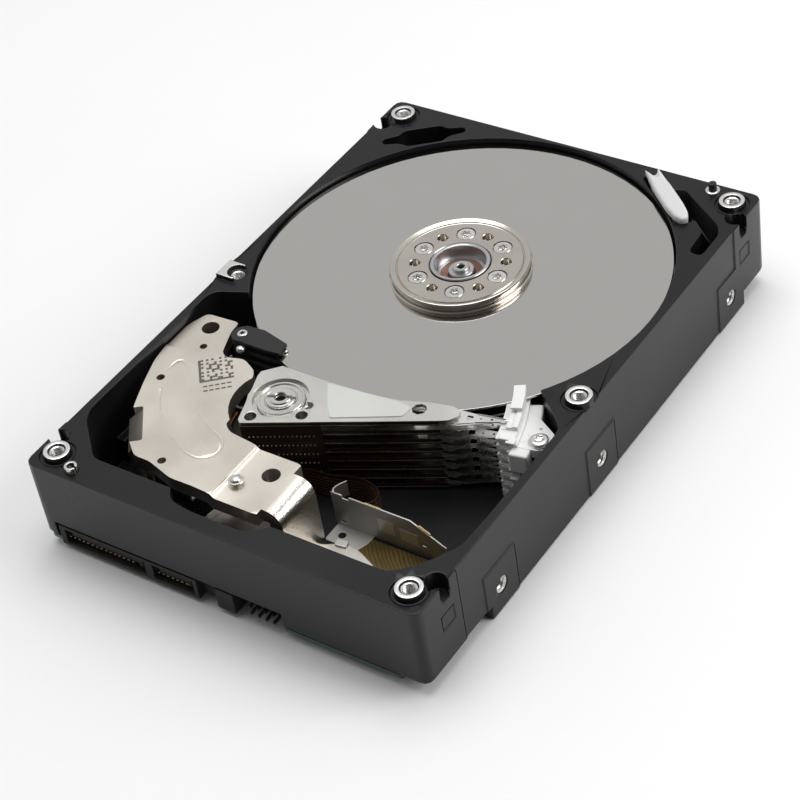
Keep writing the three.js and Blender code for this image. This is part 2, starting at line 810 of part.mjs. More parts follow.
/** The parking ramp: a comb between the disks' edges, with a path for each lift tab. */
function parkingRamp() {
  const reach = { inner: 49.5, path: 52.4, outer: 54.2 };
  const middle = 20.4; // degrees
  const half = 8.4;
  let comb = slab(sector(reach.inner, reach.outer, middle, half), 4.5, 24.3, 4);
  for (let k = 0; k < ARM_COUNT; k += 1) {
    const z = armMiddle(k);
    const path = sector(reach.inner - 2, reach.path, middle, half + 4);
    comb = comb.subtract(slab(path, z - 0.42, z + 0.42, 4));
  }
  comb = comb.translate([...PIVOT, 0]);
  for (let k = 0; k < DISK_COUNT; k += 1) {
    const top = diskTop(k);
    comb = comb.subtract(rod(DISK_R + 0.35, SPINDLE, top - DISK_T - 0.22, top + 0.22, 60));
  }
  const foot = [[40.3, -10.6], [47.2, -14.6], [47.8, -18.4], [44.4, -20.8], [39.4, -20.6]];
  const footTop = RAMP_FOOT_Z + 2.2;
  const reachOut = slab(sector(reach.path + 0.3, 90, middle, half), BELOW, ABOVE, 8)
    .translate([...PIVOT, 0]);
  const footPlate = slab(outline(foot, 1), RAMP_FOOT_Z, footTop).intersect(reachOut);
  return cut(join(comb, footPlate), rod(1.3, RAMP_SCREW, BELOW, ABOVE, 12));
}

function flexBracket() {
  const sheetT = 0.5;
  const y = -43.2;
  const face = [[7.6, 4.2], [34, 4.2], [36.8, 9.2], [28.2, 13.8], [7.6, 13.8]];
  return join(
    along(face, 0.4, y - sheetT, y),
    box([7.6, 7.6 + sheetT], [y - sheetT / 2, -38.4], [8, 13.8]),
    box([8.4, 26], [-49, y - sheetT / 2], [FLOOR_Z, FLOOR_Z + sheetT]),
  );
}

/** The flexible circuit's loop, standing on edge between the arm block and the bracket. */
function flexLoop() {
  const thickness = 0.3;
  const route = new THREE.CatmullRomCurve3([
    new THREE.Vector3(-7, -42.6, 0),
    new THREE.Vector3(-2, -39, 0),
    new THREE.Vector3(3.2, -38.4, 0),
    new THREE.Vector3(10.4, -36.4, 0),
    new THREE.Vector3(15.6, -37.6, 0),
    new THREE.Vector3(17, -40.4, 0),
    new THREE.Vector3(15.4, -42.8, 0),
  ]);
  const steps = 18;
  const near = [];
  const far = [];
  for (let i = 0; i <= steps; i += 1) {
    const point = route.getPoint(i / steps);
    const along2d = route.getTangent(i / steps);
    near.push([point.x - (along2d.y * thickness) / 2, point.y + (along2d.x * thickness) / 2]);
    far.unshift([point.x + (along2d.y * thickness) / 2, point.y - (along2d.x * thickness) / 2]);
  }
  return slab(outline([...near, ...far]), 5, 12.4);
}

/** A soft pouch of filter material, wider across its middle than at its forked end. */
function filterPouch() {
  const half = [[-9.6, -0.7], [-6.4, -1.5], [2, -1.7], [7.4, -1.6], [9.4, -0.8]];
  const corners = [...half, ...half.map(([u, v]) => [u, -v]).reverse()];
  return slab(outline(corners, 0.8), 8.4, 24.6)
    .rotate([0, 0, -40.8])
    .translate([31.3, 64, 0]);
}

function pivotShaft() {
  const foot = [[0, FLOOR_Z], [4.6, FLOOR_Z], [4.6, 4.5]];
  return turned([...foot, [SHAFT_R, 4.5], [SHAFT_R, PIVOT_TOP_Z], [0, PIVOT_TOP_Z]], 20);
}

/** The slotted cap on top of the pivot shaft. */
function pivotScrew() {
  const capTop = PIVOT_TOP_Z + 0.7;
  const dish = PIVOT_TOP_Z + 0.2;
  const rim = [[0, PIVOT_TOP_Z], [3.1, PIVOT_TOP_Z], [3.1, capTop], [1.2, capTop]];
  const cap = turned([...rim, [1.2, dish], [0, dish]], 20);
  const slotHalf = 0.35;
  return cap.subtract(box([-4, 4], [-slotHalf, slotHalf], [dish + 0.15, 25]).rotate([0, 0, 20]));
}

function frontPin() {
  const tube = cut(rod(1.45, FRONT_PIN, 18.2, 25.5, 16), rod(0.85, FRONT_PIN, 20, ABOVE, 12));
  const [x, y] = FRONT_PIN;
  return tube.subtract(box([x, x + 3], [y - 0.25, y + 0.25], [23, ABOVE]));
}

// ---------------------------------------------------------------- the assembly

addPart('base_casting', baseCasting(), FINISH.casting);
addPart('circuit_board', circuitBoard(), FINISH.board);
addPart('data_connector', dataConnector(), FINISH.blackPlastic);
addPart('jumper_pins', jumperPins(), FINISH.blackPlastic);
BOARD_SCREWS.forEach((place, i) => {
  addPart(`board_screw_${i + 1}`, screw(2, 1.1, place, BOARD_Z[0], 0.9, 7.2), FINISH.steel);
});

addPart('spindle_shaft', spindleShaft(), FINISH.steel, spindle);
addPart('motor_stator', motorStator(), FINISH.copper, spindle);
addPart('spindle_hub', spindleHub(), FINISH.aluminium, spindle);
addPart('rotor_magnet', ring(9.8, 11.1, 6.5, 15, 24), FINISH.magnet, spindle);
for (let k = 0; k < DISK_COUNT; k += 1) {
  const top = diskTop(k);
  addPart(`disk_${k + 1}`, ring(DISK_BORE_R, DISK_R, top - DISK_T, top, 40), FINISH.disk, spindle);
}
for (let k = 0; k < DISK_COUNT - 1; k += 1) {
  const spacer = ring(DISK_BORE_R, FLANGE_R, diskTop(k + 1), diskTop(k) - DISK_T, 20);
  addPart(`disk_spacer_${k + 1}`, spacer, FINISH.aluminium, spindle);
}
addPart('disk_clamp', diskClamp(), FINISH.nickel, spindle);
clampScrewPlaces().forEach((place, i) => {
  addPart(`clamp_screw_${i + 1}`, screw(2.1, 0.95, place, 23.7, 0.9, 19.4), FINISH.steel, spindle);
});
drive.add(spindle);

addPart('arm_block', armBlock(), FINISH.aluminium, actuator);
addPart('pivot_sleeve', ring(3.3, 5.25, 4.9, 23.7, 20), FINISH.steel, actuator);
addPart('voice_coil', voiceCoil(), FINISH.copper, actuator);
addPart('coil_frame', coilFrame(), FINISH.blackPlastic, actuator);
for (let k = 0; k < ARM_COUNT; k += 1) {
  addPart(`head_suspension_${k + 1}`, headSuspension(k), FINISH.steel, actuator);
}
drive.add(actuator);

addPart('pivot_shaft', pivotShaft().translate([...PIVOT, 0]), FINISH.steel);
addPart('pivot_screw', pivotScrew().translate([...PIVOT, 0]), FINISH.steel);
addPart('upper_yoke', upperYoke(), FINISH.nickel);
addPart('lower_yoke', lowerYoke(), FINISH.nickel);
addPart('upper_magnet', magnet(UPPER_YOKE_Z - MAGNET_T), FINISH.magnet);
addPart('lower_magnet', magnet(LOWER_YOKE_Z + YOKE_T), FINISH.magnet);
addPart('crash_stop', rod(1.5, polar(20, 171, PIVOT), 7.4, UPPER_YOKE_Z), FINISH.rubber);
addPart('inertia_latch', inertiaLatch(), FINISH.blackPlastic);
addPart('latch_pin', rod(1, LATCH_PIVOT, 9, 17), FINISH.steel);
addPart('airflow_spoiler', airflowSpoiler(), FINISH.blackPlastic);
addPart('parking_ramp', parkingRamp(), FINISH.whitePlastic);
addPart('ramp_screw', screw(2, 1.1, RAMP_SCREW, RAMP_FOOT_Z + 2.2, 0.9, 14), FINISH.steel);
addPart('filter_pouch', filterPouch(), FINISH.cloth);
addPart('flex_bracket', flexBracket(), FINISH.steel);
addPart('flex_loop', flexLoop(), FINISH.flex);
addPart('front_pin', frontPin(), FINISH.steel);
addPart('back_pin', rod(0.95, BACK_PIN, 18.2, PIN_Z), FINISH.blackPlastic);

export default drive;
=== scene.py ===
"""An opened 3.5-inch hard disk drive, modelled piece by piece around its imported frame.

The frame gives every part's place. Each operator below models one piece or a group of like pieces in
the frame's own axes: +X across the drive, +Y towards the spindle end, +Z up. Sizes are in millimetres
and are turned into metres where a mesh is made.
"""

import json
import math

import bpy
from bpy.props import FloatProperty, FloatVectorProperty, IntProperty, PointerProperty
from mathutils import Matrix, Vector


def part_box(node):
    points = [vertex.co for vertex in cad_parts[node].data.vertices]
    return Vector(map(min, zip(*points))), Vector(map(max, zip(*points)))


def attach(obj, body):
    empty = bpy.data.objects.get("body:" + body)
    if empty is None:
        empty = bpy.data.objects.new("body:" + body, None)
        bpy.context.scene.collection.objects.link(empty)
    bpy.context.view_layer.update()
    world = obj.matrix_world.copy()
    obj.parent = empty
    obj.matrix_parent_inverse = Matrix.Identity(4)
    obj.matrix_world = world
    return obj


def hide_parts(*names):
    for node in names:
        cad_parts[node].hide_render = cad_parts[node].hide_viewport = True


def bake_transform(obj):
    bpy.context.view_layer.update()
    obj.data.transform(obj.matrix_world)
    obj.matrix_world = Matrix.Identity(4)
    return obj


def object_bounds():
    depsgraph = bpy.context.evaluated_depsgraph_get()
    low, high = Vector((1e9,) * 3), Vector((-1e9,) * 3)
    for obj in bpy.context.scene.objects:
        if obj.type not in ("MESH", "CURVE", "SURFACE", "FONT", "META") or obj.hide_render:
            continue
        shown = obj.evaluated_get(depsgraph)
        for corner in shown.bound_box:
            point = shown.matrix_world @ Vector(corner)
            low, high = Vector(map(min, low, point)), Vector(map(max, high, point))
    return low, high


bl_info = {
    "name": "Open Hard Disk Drive",
    "version": (1, 0, 0),
    "blender": (4, 5, 0),
    "location": "3D View > Sidebar > Drive",
    "description": "Models the pieces of an opened hard disk drive around its packed frame",
    "category": "Object",
}

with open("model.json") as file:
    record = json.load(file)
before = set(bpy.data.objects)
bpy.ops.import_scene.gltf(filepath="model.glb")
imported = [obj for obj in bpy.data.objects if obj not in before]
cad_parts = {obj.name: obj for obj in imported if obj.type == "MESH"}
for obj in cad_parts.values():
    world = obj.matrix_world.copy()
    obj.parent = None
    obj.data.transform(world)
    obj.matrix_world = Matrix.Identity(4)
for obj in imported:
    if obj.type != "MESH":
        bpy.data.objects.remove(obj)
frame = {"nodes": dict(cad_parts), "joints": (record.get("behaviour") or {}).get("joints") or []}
CAD_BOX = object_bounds()

MM = 0.001
ABOVE = 30.0  # a height over every piece, where cutters end
MERGE = 2e-6  # corners of a frame mesh that are nearer than this, in metres, are one corner
FLAT = math.radians(0.6)  # neighbouring faces that turn less than this are one face


def middle_of(node):
    """A node's middle in X and Y, and its lowest and highest Z, in millimetres."""
    low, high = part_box(node)
    centre = (low + high) / 2 / MM
    return centre.x, centre.y, low.z / MM, high.z / MM


def joint_axis(name):
    """Where a hinge stands, in X and Y, in millimetres."""
    place = next(joint["pos_m"] for joint in frame["joints"] if joint["name"] == name)
    return place[0] / MM, place[1] / MM


SPINDLE = joint_axis("spindle_spin")
PIVOT = joint_axis("actuator_swing")
ARM_ANGLE = math.radians(17.7)
DISKS = 7
ARMS = DISKS + 1
TOP_DISK = middle_of("disk_1")[3]
DISK_T = TOP_DISK - middle_of("disk_1")[2]
DISK_R = (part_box("disk_1")[1].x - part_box("disk_1")[0].x) / 2 / MM
DISK_PITCH = TOP_DISK - middle_of("disk_2")[3]
BOSS_Z = 25.1  # top of the five cover bosses
HALF_WIDTH = CAD_BOX[1].x / MM
HALF_LENGTH = CAD_BOX[1].y / MM
COVER_BOSSES = [(-45.7, -68.1), (45.7, -68.1), (45.7, 68.1), (-45.7, 68.1), (47.55, -5.1)]
COVER_PAD = (-46.4, -1.3)
SIDE_HOLES = [y - HALF_LENGTH for y in (28.5, 70.1, 130.1)]  # from the connector end
SIDE_HOLE_Z = 6.35
BOTTOM_HOLES = [y - HALF_LENGTH for y in (41.28, 85.73, 117.48)]
BOTTOM_HOLE_X = HALF_WIDTH - 3.18
CLAMP_SCREW_RING = 10.6
CLAMP_SCREW_START = 55  # degrees


# ---------------------------------------------------------------- modelling with operators


def object_mode():
    if bpy.context.mode != "OBJECT":
        bpy.ops.object.mode_set(mode="OBJECT")


def pick(*pieces):
    """Selects only these objects, and makes the first one active."""
    object_mode()
    bpy.ops.object.select_all(action="DESELECT")
    for piece in pieces:
        piece.select_set(True)
    if pieces:
        bpy.context.view_layer.objects.active = pieces[0]


def edit(piece, action="SELECT", kind="VERT"):
    pick(piece)
    bpy.ops.object.mode_set(mode="EDIT")
    bpy.ops.mesh.select_mode(type=kind)
    bpy.ops.mesh.select_all(action=action)


def choose_faces(piece, test):
    """Leaves the piece in edit mode with the faces selected whose centre (mm) and normal pass."""
    edit(piece, "DESELECT", "FACE")
    object_mode()
    for face in piece.data.polygons:
        face.select = bool(test(face.center / MM, face.normal))
    bpy.ops.object.mode_set(mode="EDIT")


def outward(piece):
    """Merges doubled corners and points every face outwards."""
    edit(piece)
    bpy.ops.mesh.remove_doubles(threshold=1e-7)
    bpy.ops.mesh.normals_make_consistent(inside=False)
    object_mode()


def turned(profile, centre=(0, 0), segments=96, bored=True):
    """A turned piece: a ring that is extruded and resized through a profile of (radius, height)."""
    x, y = centre[0] * MM, centre[1] * MM
    radius, height = profile[0]
    pick()
    bpy.ops.mesh.primitive_circle_add(
        vertices=segments,
        radius=radius * MM,
        fill_type="NOTHING" if bored else "NGON",
        location=(x, y, height * MM),
    )
    piece = bpy.context.object
    bpy.ops.object.transform_apply()
    edit(piece)
    for next_radius, next_height in profile[1:] + (profile[:1] if bored else []):
        rise = (next_height - height) * MM
        bpy.ops.mesh.extrude_region_move(TRANSFORM_OT_translate={"value": (0, 0, rise)})
        grow = next_radius / radius
        if abs(grow - 1) > 1e-6:
            bpy.ops.transform.resize(value=(grow, grow, 1), center_override=(x, y, next_height * MM))
        radius, height = next_radius, next_height
    outward(piece)
    return piece


def plate(corners, bottom, top, rounding=0.0, steps=3):
    """A flat piece: a filled ring of corners, rounded in its plane and extruded upwards."""
    pick()
    bpy.ops.mesh.primitive_circle_add(vertices=len(corners), radius=MM, fill_type="NGON")
    piece = bpy.context.object
    for vertex, (x, y) in zip(piece.data.vertices, corners):
        vertex.co = (x * MM, y * MM, bottom * MM)
    edit(piece)
    if rounding:
        bpy.ops.mesh.bevel(offset=rounding * MM, segments=steps, affect="VERTICES", clamp_overlap=True)
        bpy.ops.mesh.select_all(action="SELECT")
    rise = (top - bottom) * MM
    bpy.ops.mesh.extrude_region_move(TRANSFORM_OT_translate={"value": (0, 0, rise)})
    outward(piece)
    return piece


def block(x, y, z):
    """A box between two values on each axis, as a start for cuts and bevels."""
    pick()
    centre = [(low + high) / 2 * MM for low, high in (x, y, z)]
    size = [(high - low) * MM for low, high in (x, y, z)]
    bpy.ops.mesh.primitive_cube_add(size=1, location=centre, scale=size)
    piece = bpy.context.object
    bpy.ops.object.transform_apply()
    return piece


def rod(radius, centre, bottom, top, segments=32):
    return turned([(radius, bottom), (radius, top)], centre, segments, bored=False)


def placed(piece, matrix):
    """Moves a finished mesh by a matrix, and leaves its object at the origin."""
    pick(piece)
    piece.matrix_world = matrix
    bpy.ops.object.transform_apply()
    if matrix.is_negative:
        outward(piece)
    return piece


def twin(piece, matrix):
    """A copy with a mesh of its own, moved by a matrix."""
    pick(piece)
    bpy.ops.object.duplicate(linked=False)
    return placed(bpy.context.object, matrix)


def shift(x=0.0, y=0.0, z=0.0):
    return Matrix.Translation((x * MM, y * MM, z * MM))


def turn(degrees, centre=(0, 0)):
    """A turn about an upright axis."""
    there = shift(*centre)
    return there @ Matrix.Rotation(math.radians(degrees), 4, "Z") @ there.inverted()


ON_ARM = shift(*PIVOT) @ Matrix.Rotation(ARM_ANGLE, 4, "Z")


def together(pieces):
    pick(*pieces)
    if len(pieces) > 1:
        bpy.ops.object.join()
    return bpy.context.view_layer.objects.active


def apply(piece, kind, **settings):
    """Adds a modifier, sets it and applies it."""
    pick(piece)
    modifier = piece.modifiers.new(kind.title(), kind)
    for name, value in settings.items():
        setattr(modifier, name, value)
    bpy.ops.object.modifier_apply(modifier=modifier.name)
    return piece


def carve(piece, *cutters, operation="DIFFERENCE"):
    """Cuts the cutters out of the piece. They don't overlap, so they go in one cut."""
    cutter = together(cutters)
    apply(piece, "BOOLEAN", operation=operation, solver="EXACT", object=cutter)
    bpy.data.objects.remove(cutter)
    return piece


def smooth(piece, angle=35):
    """Smooth shading that keeps flats flat and edges past the angle sharp."""
    pick(piece)
    bpy.ops.object.shade_smooth_by_angle(angle=math.radians(angle))
    return apply(piece, "WEIGHTED_NORMAL", keep_sharp=True, weight=100, use_face_influence=True)


def triangles(piece):
    """Splits large faces, so that a bevel can't cross the seams of a face with holes in it."""
    edit(piece, kind="FACE")
    bpy.ops.mesh.quads_convert_to_tris(quad_method="BEAUTY", ngon_method="BEAUTY")
    object_mode()


def flush(piece, side):
    """Moves the corners that stand out past the drive's side back onto it."""
    edit(piece, "DESELECT")
    object_mode()
    for vertex in piece.data.vertices:
        vertex.select = side * vertex.co.x / MM > HALF_WIDTH
    bpy.ops.object.mode_set(mode="EDIT")
    bpy.ops.transform.resize(value=(0, 1, 1), center_override=(side * HALF_WIDTH * MM, 0, 0))
    object_mode()


def soften(piece, width, steps=2, angle=35, clamp=True):
    """Rounds every edge sharper than the angle."""
    apply(
        piece,
        "BEVEL",
        width=width * MM,
        segments=steps,
        limit_method="ANGLE",
        angle_limit=math.radians(angle),
        use_clamp_overlap=clamp,
        loop_slide=False,
        face_strength_mode="FSTR_AFFECTED",
    )
    return smooth(piece, 40)


def cad_copy(node):
    """A merged copy of a frame node, to be cut and rounded. The node itself is left alone."""
    pick(frame["nodes"][node])
    bpy.ops.object.duplicate(linked=False)
    piece = bpy.context.object
    piece.parent = None
    piece.matrix_world = Matrix.Identity(4)
    for key in list(piece.keys()):
        del piece[key]
    edit(piece)
    bpy.ops.mesh.customdata_custom_splitnormals_clear()
    bpy.ops.mesh.remove_doubles(threshold=MERGE)
    bpy.ops.mesh.dissolve_limited(angle_limit=FLAT)
    object_mode()
    piece.data.materials.clear()
    return piece


def rounded_copy(node, width, steps=2, angle=40):
    """A frame node's copy with its edges rounded."""
    piece = cad_copy(node)
    triangles(piece)
    return soften(piece, width, steps, angle)


def copies(piece, places):
    """Twins of a piece at several places, joined. The piece itself goes."""
    row = [twin(piece, place) for place in places]
    bpy.data.objects.remove(piece)
    return together(row)


def finished(piece, name, material, body, slot, *nodes):
    """Names a piece, gives it its finish, and ties it to the frame. A blended piece has no body."""
    piece.name = piece.data.name = name
    if material:
        piece.data.materials.clear()
        piece.data.materials.append(material)
    if body:
        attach(piece, body)
    if nodes:
        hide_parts(*nodes)
    return piece


def disk_top(k):
    """The top of disk k, counted from the top of the stack."""
    return TOP_DISK - DISK_PITCH * k


def arm_middle(k):
    return TOP_DISK + (DISK_PITCH - DISK_T) / 2 - DISK_PITCH * k


def ring_places(count, radius, start, centre=(0, 0)):
    """Points evenly spaced round a centre, from an angle in degrees."""
    angles = [math.radians(start + i * 360 / count) for i in range(count)]
    return [(centre[0] + radius * math.cos(a), centre[1] + radius * math.sin(a)) for a in angles]


# ---------------------------------------------------------------- shader helpers


def put(tree, kind, settings=None, **inputs):
    """Adds a node. An input given a socket is linked, and any other value is set on it."""
    node = tree.nodes.new("ShaderNode" + kind)
    for name, value in (settings or {}).items():
        setattr(node, name, value)
    for name, value in inputs.items():
        feed(tree, node.inputs[name.replace("_", " ")], value)
    return node


def feed(tree, socket, value):
    if isinstance(value, bpy.types.NodeSocket):
        tree.links.new(value, socket)
    else:
        socket.default_value = value


def maths(tree, operation, a, b=0.0, clamp=False):
    node = tree.nodes.new("ShaderNodeMath")
    node.operation = operation
    node.use_clamp = clamp
    feed(tree, node.inputs[0], a)
    feed(tree, node.inputs[1], b)
    return node.outputs[0]


def between(tree, value, low, high, to_low=0.0, to_high=1.0):
    """Maps a value from one range to another, and holds it there."""
    node = put(tree, "MapRange", Value=value)
    for name, number in (("From Min", low), ("From Max", high), ("To Min", to_low), ("To Max", to_high)):
        feed(tree, node.inputs[name], number)
    return node.outputs[0]


def blend_colour(tree, factor, a, b):
    node = tree.nodes.new("ShaderNodeMix")
    node.data_type = "RGBA"
    for socket, value in zip((node.inputs[0], node.inputs[6], node.inputs[7]), (factor, a, b)):
        feed(tree, socket, value)
    return node.outputs[2]


def blend_value(tree, factor, a, b):
    node = tree.nodes.new("ShaderNodeMix")
    for socket, value in zip((node.inputs[0], node.inputs[2], node.inputs[3]), (factor, a, b)):
        feed(tree, socket, value)
    return node.outputs[0]


def effect(name, inputs, outputs, build):
    """A shader node group with named inputs (name, kind, default) and outputs (name, kind)."""
    if name in bpy.data.node_groups:
        return bpy.data.node_groups[name]
    tree = bpy.data.node_groups.new(name, "ShaderNodeTree")
    for title, kind, default in inputs:
        socket = tree.interface.new_socket(title, in_out="INPUT", socket_type="NodeSocket" + kind)
        socket.default_value = default
    for title, kind in outputs:
        tree.interface.new_socket(title, in_out="OUTPUT", socket_type="NodeSocket" + kind)
    source = tree.nodes.new("NodeGroupInput")
    result = tree.nodes.new("NodeGroupOutput")
    for title, value in build(tree, source.outputs).items():
        feed(tree, result.inputs[title], value)
    return tree


def use(tree, group, **inputs):
    node = tree.nodes.new("ShaderNodeGroup")
    node.node_tree = group
    for name, value in inputs.items():
        feed(tree, node.inputs[name.replace("_", " ")], value)
    return node.outputs


def grain_group():
    """Fine grain and broad patches: two colours, two roughnesses and a small bump."""

    def build(tree, given):
        place = tree.nodes.new("ShaderNodeTexCoord").outputs["Object"]
        fine = put(tree, "TexNoise", Vector=place, Scale=given["Grain Scale"], Detail=3.0)
        broad = put(tree, "TexNoise", Vector=place, Scale=given["Patch Scale"], Detail=5.0)
        patch = between(tree, broad.outputs[0], 0.35, 0.65)
        speck = between(tree, fine.outputs[0], 0.3, 0.7)
        mixed = maths(tree, "ADD", maths(tree, "MULTIPLY", patch, 0.6), maths(tree, "MULTIPLY", speck, 0.4))
        bump = put(tree, "Bump", Strength=given["Bump"], Distance=2e-5, Height=fine.outputs[0])
        return {
            "Color": blend_colour(tree, mixed, given["Color A"], given["Color B"]),
            "Roughness": blend_value(tree, mixed, given["Rough A"], given["Rough B"]),
            "Normal": bump.outputs[0],
        }

    inputs = [
        ("Color A", "Color", (0.5, 0.5, 0.5, 1)),
        ("Color B", "Color", (0.6, 0.6, 0.6, 1)),
        ("Rough A", "Float", 0.3),
        ("Rough B", "Float", 0.4),
        ("Grain Scale", "Float", 4000.0),
        ("Patch Scale", "Float", 60.0),
        ("Bump", "Float", 0.2),
    ]
    return effect("Grain", inputs, [("Color", "Color"), ("Roughness", "Float"), ("Normal", "Vector")], build)


def turned_marks_group():
    """Fine concentric marks round an upright axis, as a lathe leaves them."""

    def build(tree, given):
        place = tree.nodes.new("ShaderNodeTexCoord").outputs["Object"]
        away = put(tree, "VectorMath", {"operation": "SUBTRACT"})
        feed(tree, away.inputs[0], place)
        feed(tree, away.inputs[1], given["Centre"])
        flat = put(tree, "VectorMath", {"operation": "MULTIPLY"})
        feed(tree, flat.inputs[0], away.outputs[0])
        flat.inputs[1].default_value = (1, 1, 0)
        radius = put(tree, "VectorMath", {"operation": "LENGTH"})
        feed(tree, radius.inputs[0], flat.outputs[0])
        rings = put(tree, "TexNoise", {"noise_dimensions": "1D"}, W=radius.outputs["Value"], Detail=4.0)
        feed(tree, rings.inputs["Scale"], given["Ring Scale"])
        bump = put(tree, "Bump", Strength=given["Bump"], Distance=1e-5, Height=rings.outputs[0])
        feed(tree, bump.inputs["Normal"], given["Normal"])
        return {"Mark": rings.outputs[0], "Normal": bump.outputs[0]}

    inputs = [
        ("Centre", "Vector", (0, 0, 0)),
        ("Ring Scale", "Float", 6000.0),
        ("Bump", "Float", 0.3),
        ("Normal", "Vector", (0, 0, 0)),
    ]
    return effect("Turned Marks", inputs, [("Mark", "Float"), ("Normal", "Vector")], build)


def height_band_group():
    """1 between two heights of the drive, and 0 outside them."""

    def build(tree, given):
        place = tree.nodes.new("ShaderNodeTexCoord").outputs["Object"]
        height = put(tree, "SeparateXYZ", Vector=place).outputs["Z"]
        over = maths(tree, "GREATER_THAN", height, given["Low"])
        under = maths(tree, "LESS_THAN", height, given["High"])
        return {"Mask": maths(tree, "MULTIPLY", over, under)}

    inputs = [("Low", "Float", 0.0), ("High", "Float", 1.0)]
    return effect("Height Band", inputs, [("Mask", "Float")], build)


def new_material(name, **constants):
    """A material with one Principled BSDF, whose constant sockets are set here."""
    material = bpy.data.materials.new(name)
    material.use_nodes = True
    tree = material.node_tree
    shader = tree.nodes["Principled BSDF"]
    for title, value in constants.items():
        shader.inputs[title.replace("_", " ")].default_value = value
    return material, tree, shader


def grained(name, a, b, rough, grain=4000.0, patch=60.0, bump=0.2, **constants):
    """A material whose colour, roughness and bump come from the Grain group."""
    if name in bpy.data.materials:
        return bpy.data.materials[name]
    material, tree, shader = new_material(name, **constants)
    out = use(
        tree,
        grain_group(),
        Color_A=(*a, 1),
        Color_B=(*b, 1),
        Rough_A=rough[0],
        Rough_B=rough[1],
        Grain_Scale=grain,
        Patch_Scale=patch,
        Bump=bump,
    )
    tree.links.new(out["Color"], shader.inputs["Base Color"])
    tree.links.new(out["Roughness"], shader.inputs["Roughness"])
    tree.links.new(out["Normal"], shader.inputs["Normal"])
    return material


def lathe_finish(name, a, b, rough, centre, rings=6000.0, bump=0.25, **constants):
    """Grain with turned marks round an axis on top."""
    if name in bpy.data.materials:
        return bpy.data.materials[name]
    material = grained(name, a, b, rough, patch=90.0, bump=0.08, **constants)
    tree = material.node_tree
    shader = tree.nodes["Principled BSDF"]
    grain = next(node for node in tree.nodes if node.type == "GROUP").outputs["Normal"]
    place = (centre[0] * MM, centre[1] * MM, 0)
    out = use(tree, turned_marks_group(), Centre=place, Ring_Scale=rings, Bump=bump, Normal=grain)
    tree.links.new(out["Normal"], shader.inputs["Normal"])
    return material


# ---------------------------------------------------------------- finishes


def coated_casting(look):
    """Satin black coating over a casting, worn through to machined metal on the boss tops."""
    if "coated_casting" in bpy.data.materials:
        return bpy.data.materials["coated_casting"]
    dark = tuple(look.coating)
    worn = tuple(channel * 1.7 for channel in dark)
    material = grained(
        "coated_casting", dark, worn, (0.26, 0.36), grain=2600.0, patch=38.0, bump=0.3, Specular_IOR_Level=0.3
    )
    tree = material.node_tree
    shader = tree.nodes["Principled BSDF"]
    grain = next(node for node in tree.nodes if node.type == "GROUP").outputs
    top = use(tree, height_band_group(), Low=(BOSS_Z - 0.06) * MM, High=ABOVE * MM)["Mask"]
    feed(tree, shader.inputs["Base Color"], blend_colour(tree, top, grain["Color"], (0.82, 0.81, 0.79, 1)))
    feed(tree, shader.inputs["Roughness"], blend_value(tree, top, grain["Roughness"], 0.3))
    feed(tree, shader.inputs["Metallic"], top)
    return material


def mirror_disk(look):
    tone = tuple(look.disk_tone)
    paler = tuple(channel * 1.02 for channel in tone)
    return lathe_finish(
        "mirror_disk", tone, paler, (0.05, 0.07), SPINDLE, rings=900.0, bump=0.01, Metallic=1.0
    )


def clamp_nickel():
    return lathe_finish(
        "clamp_nickel", (0.60, 0.56, 0.51), (0.66, 0.62, 0.56), (0.17, 0.24), SPINDLE, Metallic=1.0
    )


def hub_steel():
    return lathe_finish(
        "hub_steel", (0.50, 0.50, 0.50), (0.58, 0.58, 0.58), (0.28, 0.36), SPINDLE, Metallic=1.0
    )


def pivot_steel():
    return lathe_finish(
        "pivot_steel", (0.66, 0.65, 0.62), (0.74, 0.73, 0.70), (0.24, 0.32), PIVOT, bump=0.04, Metallic=1.0
    )


def bright_steel():
    return grained(
        "bright_steel", (0.72, 0.71, 0.69), (0.80, 0.79, 0.77), (0.2, 0.34), bump=0.15, Metallic=1.0
    )


def stained_copper():
    return grained("stained_copper", (0.17, 0.09, 0.07), (0.24, 0.13, 0.10), (0.35, 0.5), Metallic=0.7)


def winding_copper():
    return grained("winding_copper", (0.42, 0.15, 0.05), (0.55, 0.22, 0.08), (0.3, 0.4), Metallic=0.9)


def machined_aluminium():
    return grained(
        "machined_aluminium", (0.60, 0.57, 0.53), (0.68, 0.65, 0.60), (0.32, 0.42), bump=0.25, Metallic=1.0
    )


def plated_magnet():
    return grained("plated_magnet", (0.44, 0.45, 0.46), (0.52, 0.52, 0.53), (0.25, 0.35), Metallic=1.0)


def black_plastic():
    return grained("black_plastic", (0.010, 0.010, 0.011), (0.018, 0.018, 0.019), (0.35, 0.5), bump=0.3)


def white_plastic():
    return grained(
        "white_plastic",
        (0.56, 0.57, 0.61),
        (0.64, 0.65, 0.69),
        (0.4, 0.5),
        bump=0.12,
        Subsurface_Weight=0.15,
        Subsurface_Scale=0.001,
    )


def black_rubber():
    return grained("black_rubber", (0.012, 0.012, 0.012), (0.02, 0.02, 0.02), (0.7, 0.85), bump=0.5)


def damper_film():
    return grained(
        "damper_film", (0.56, 0.57, 0.53), (0.62, 0.63, 0.59), (0.45, 0.55), bump=0.2, Metallic=0.35
    )


def brown_film():
    """Brown polyimide film over copper, as a flexible circuit has."""
    return grained(
        "brown_film",
        (0.012, 0.0055, 0.003),
        (0.022, 0.009, 0.004),
        (0.18, 0.28),
        bump=0.1,
        Coat_Weight=0.3,
        Coat_Roughness=0.12,
    )


def gold_plate():
    return grained("gold_plate", (0.75, 0.52, 0.22), (0.85, 0.62, 0.30), (0.2, 0.3), Metallic=1.0)


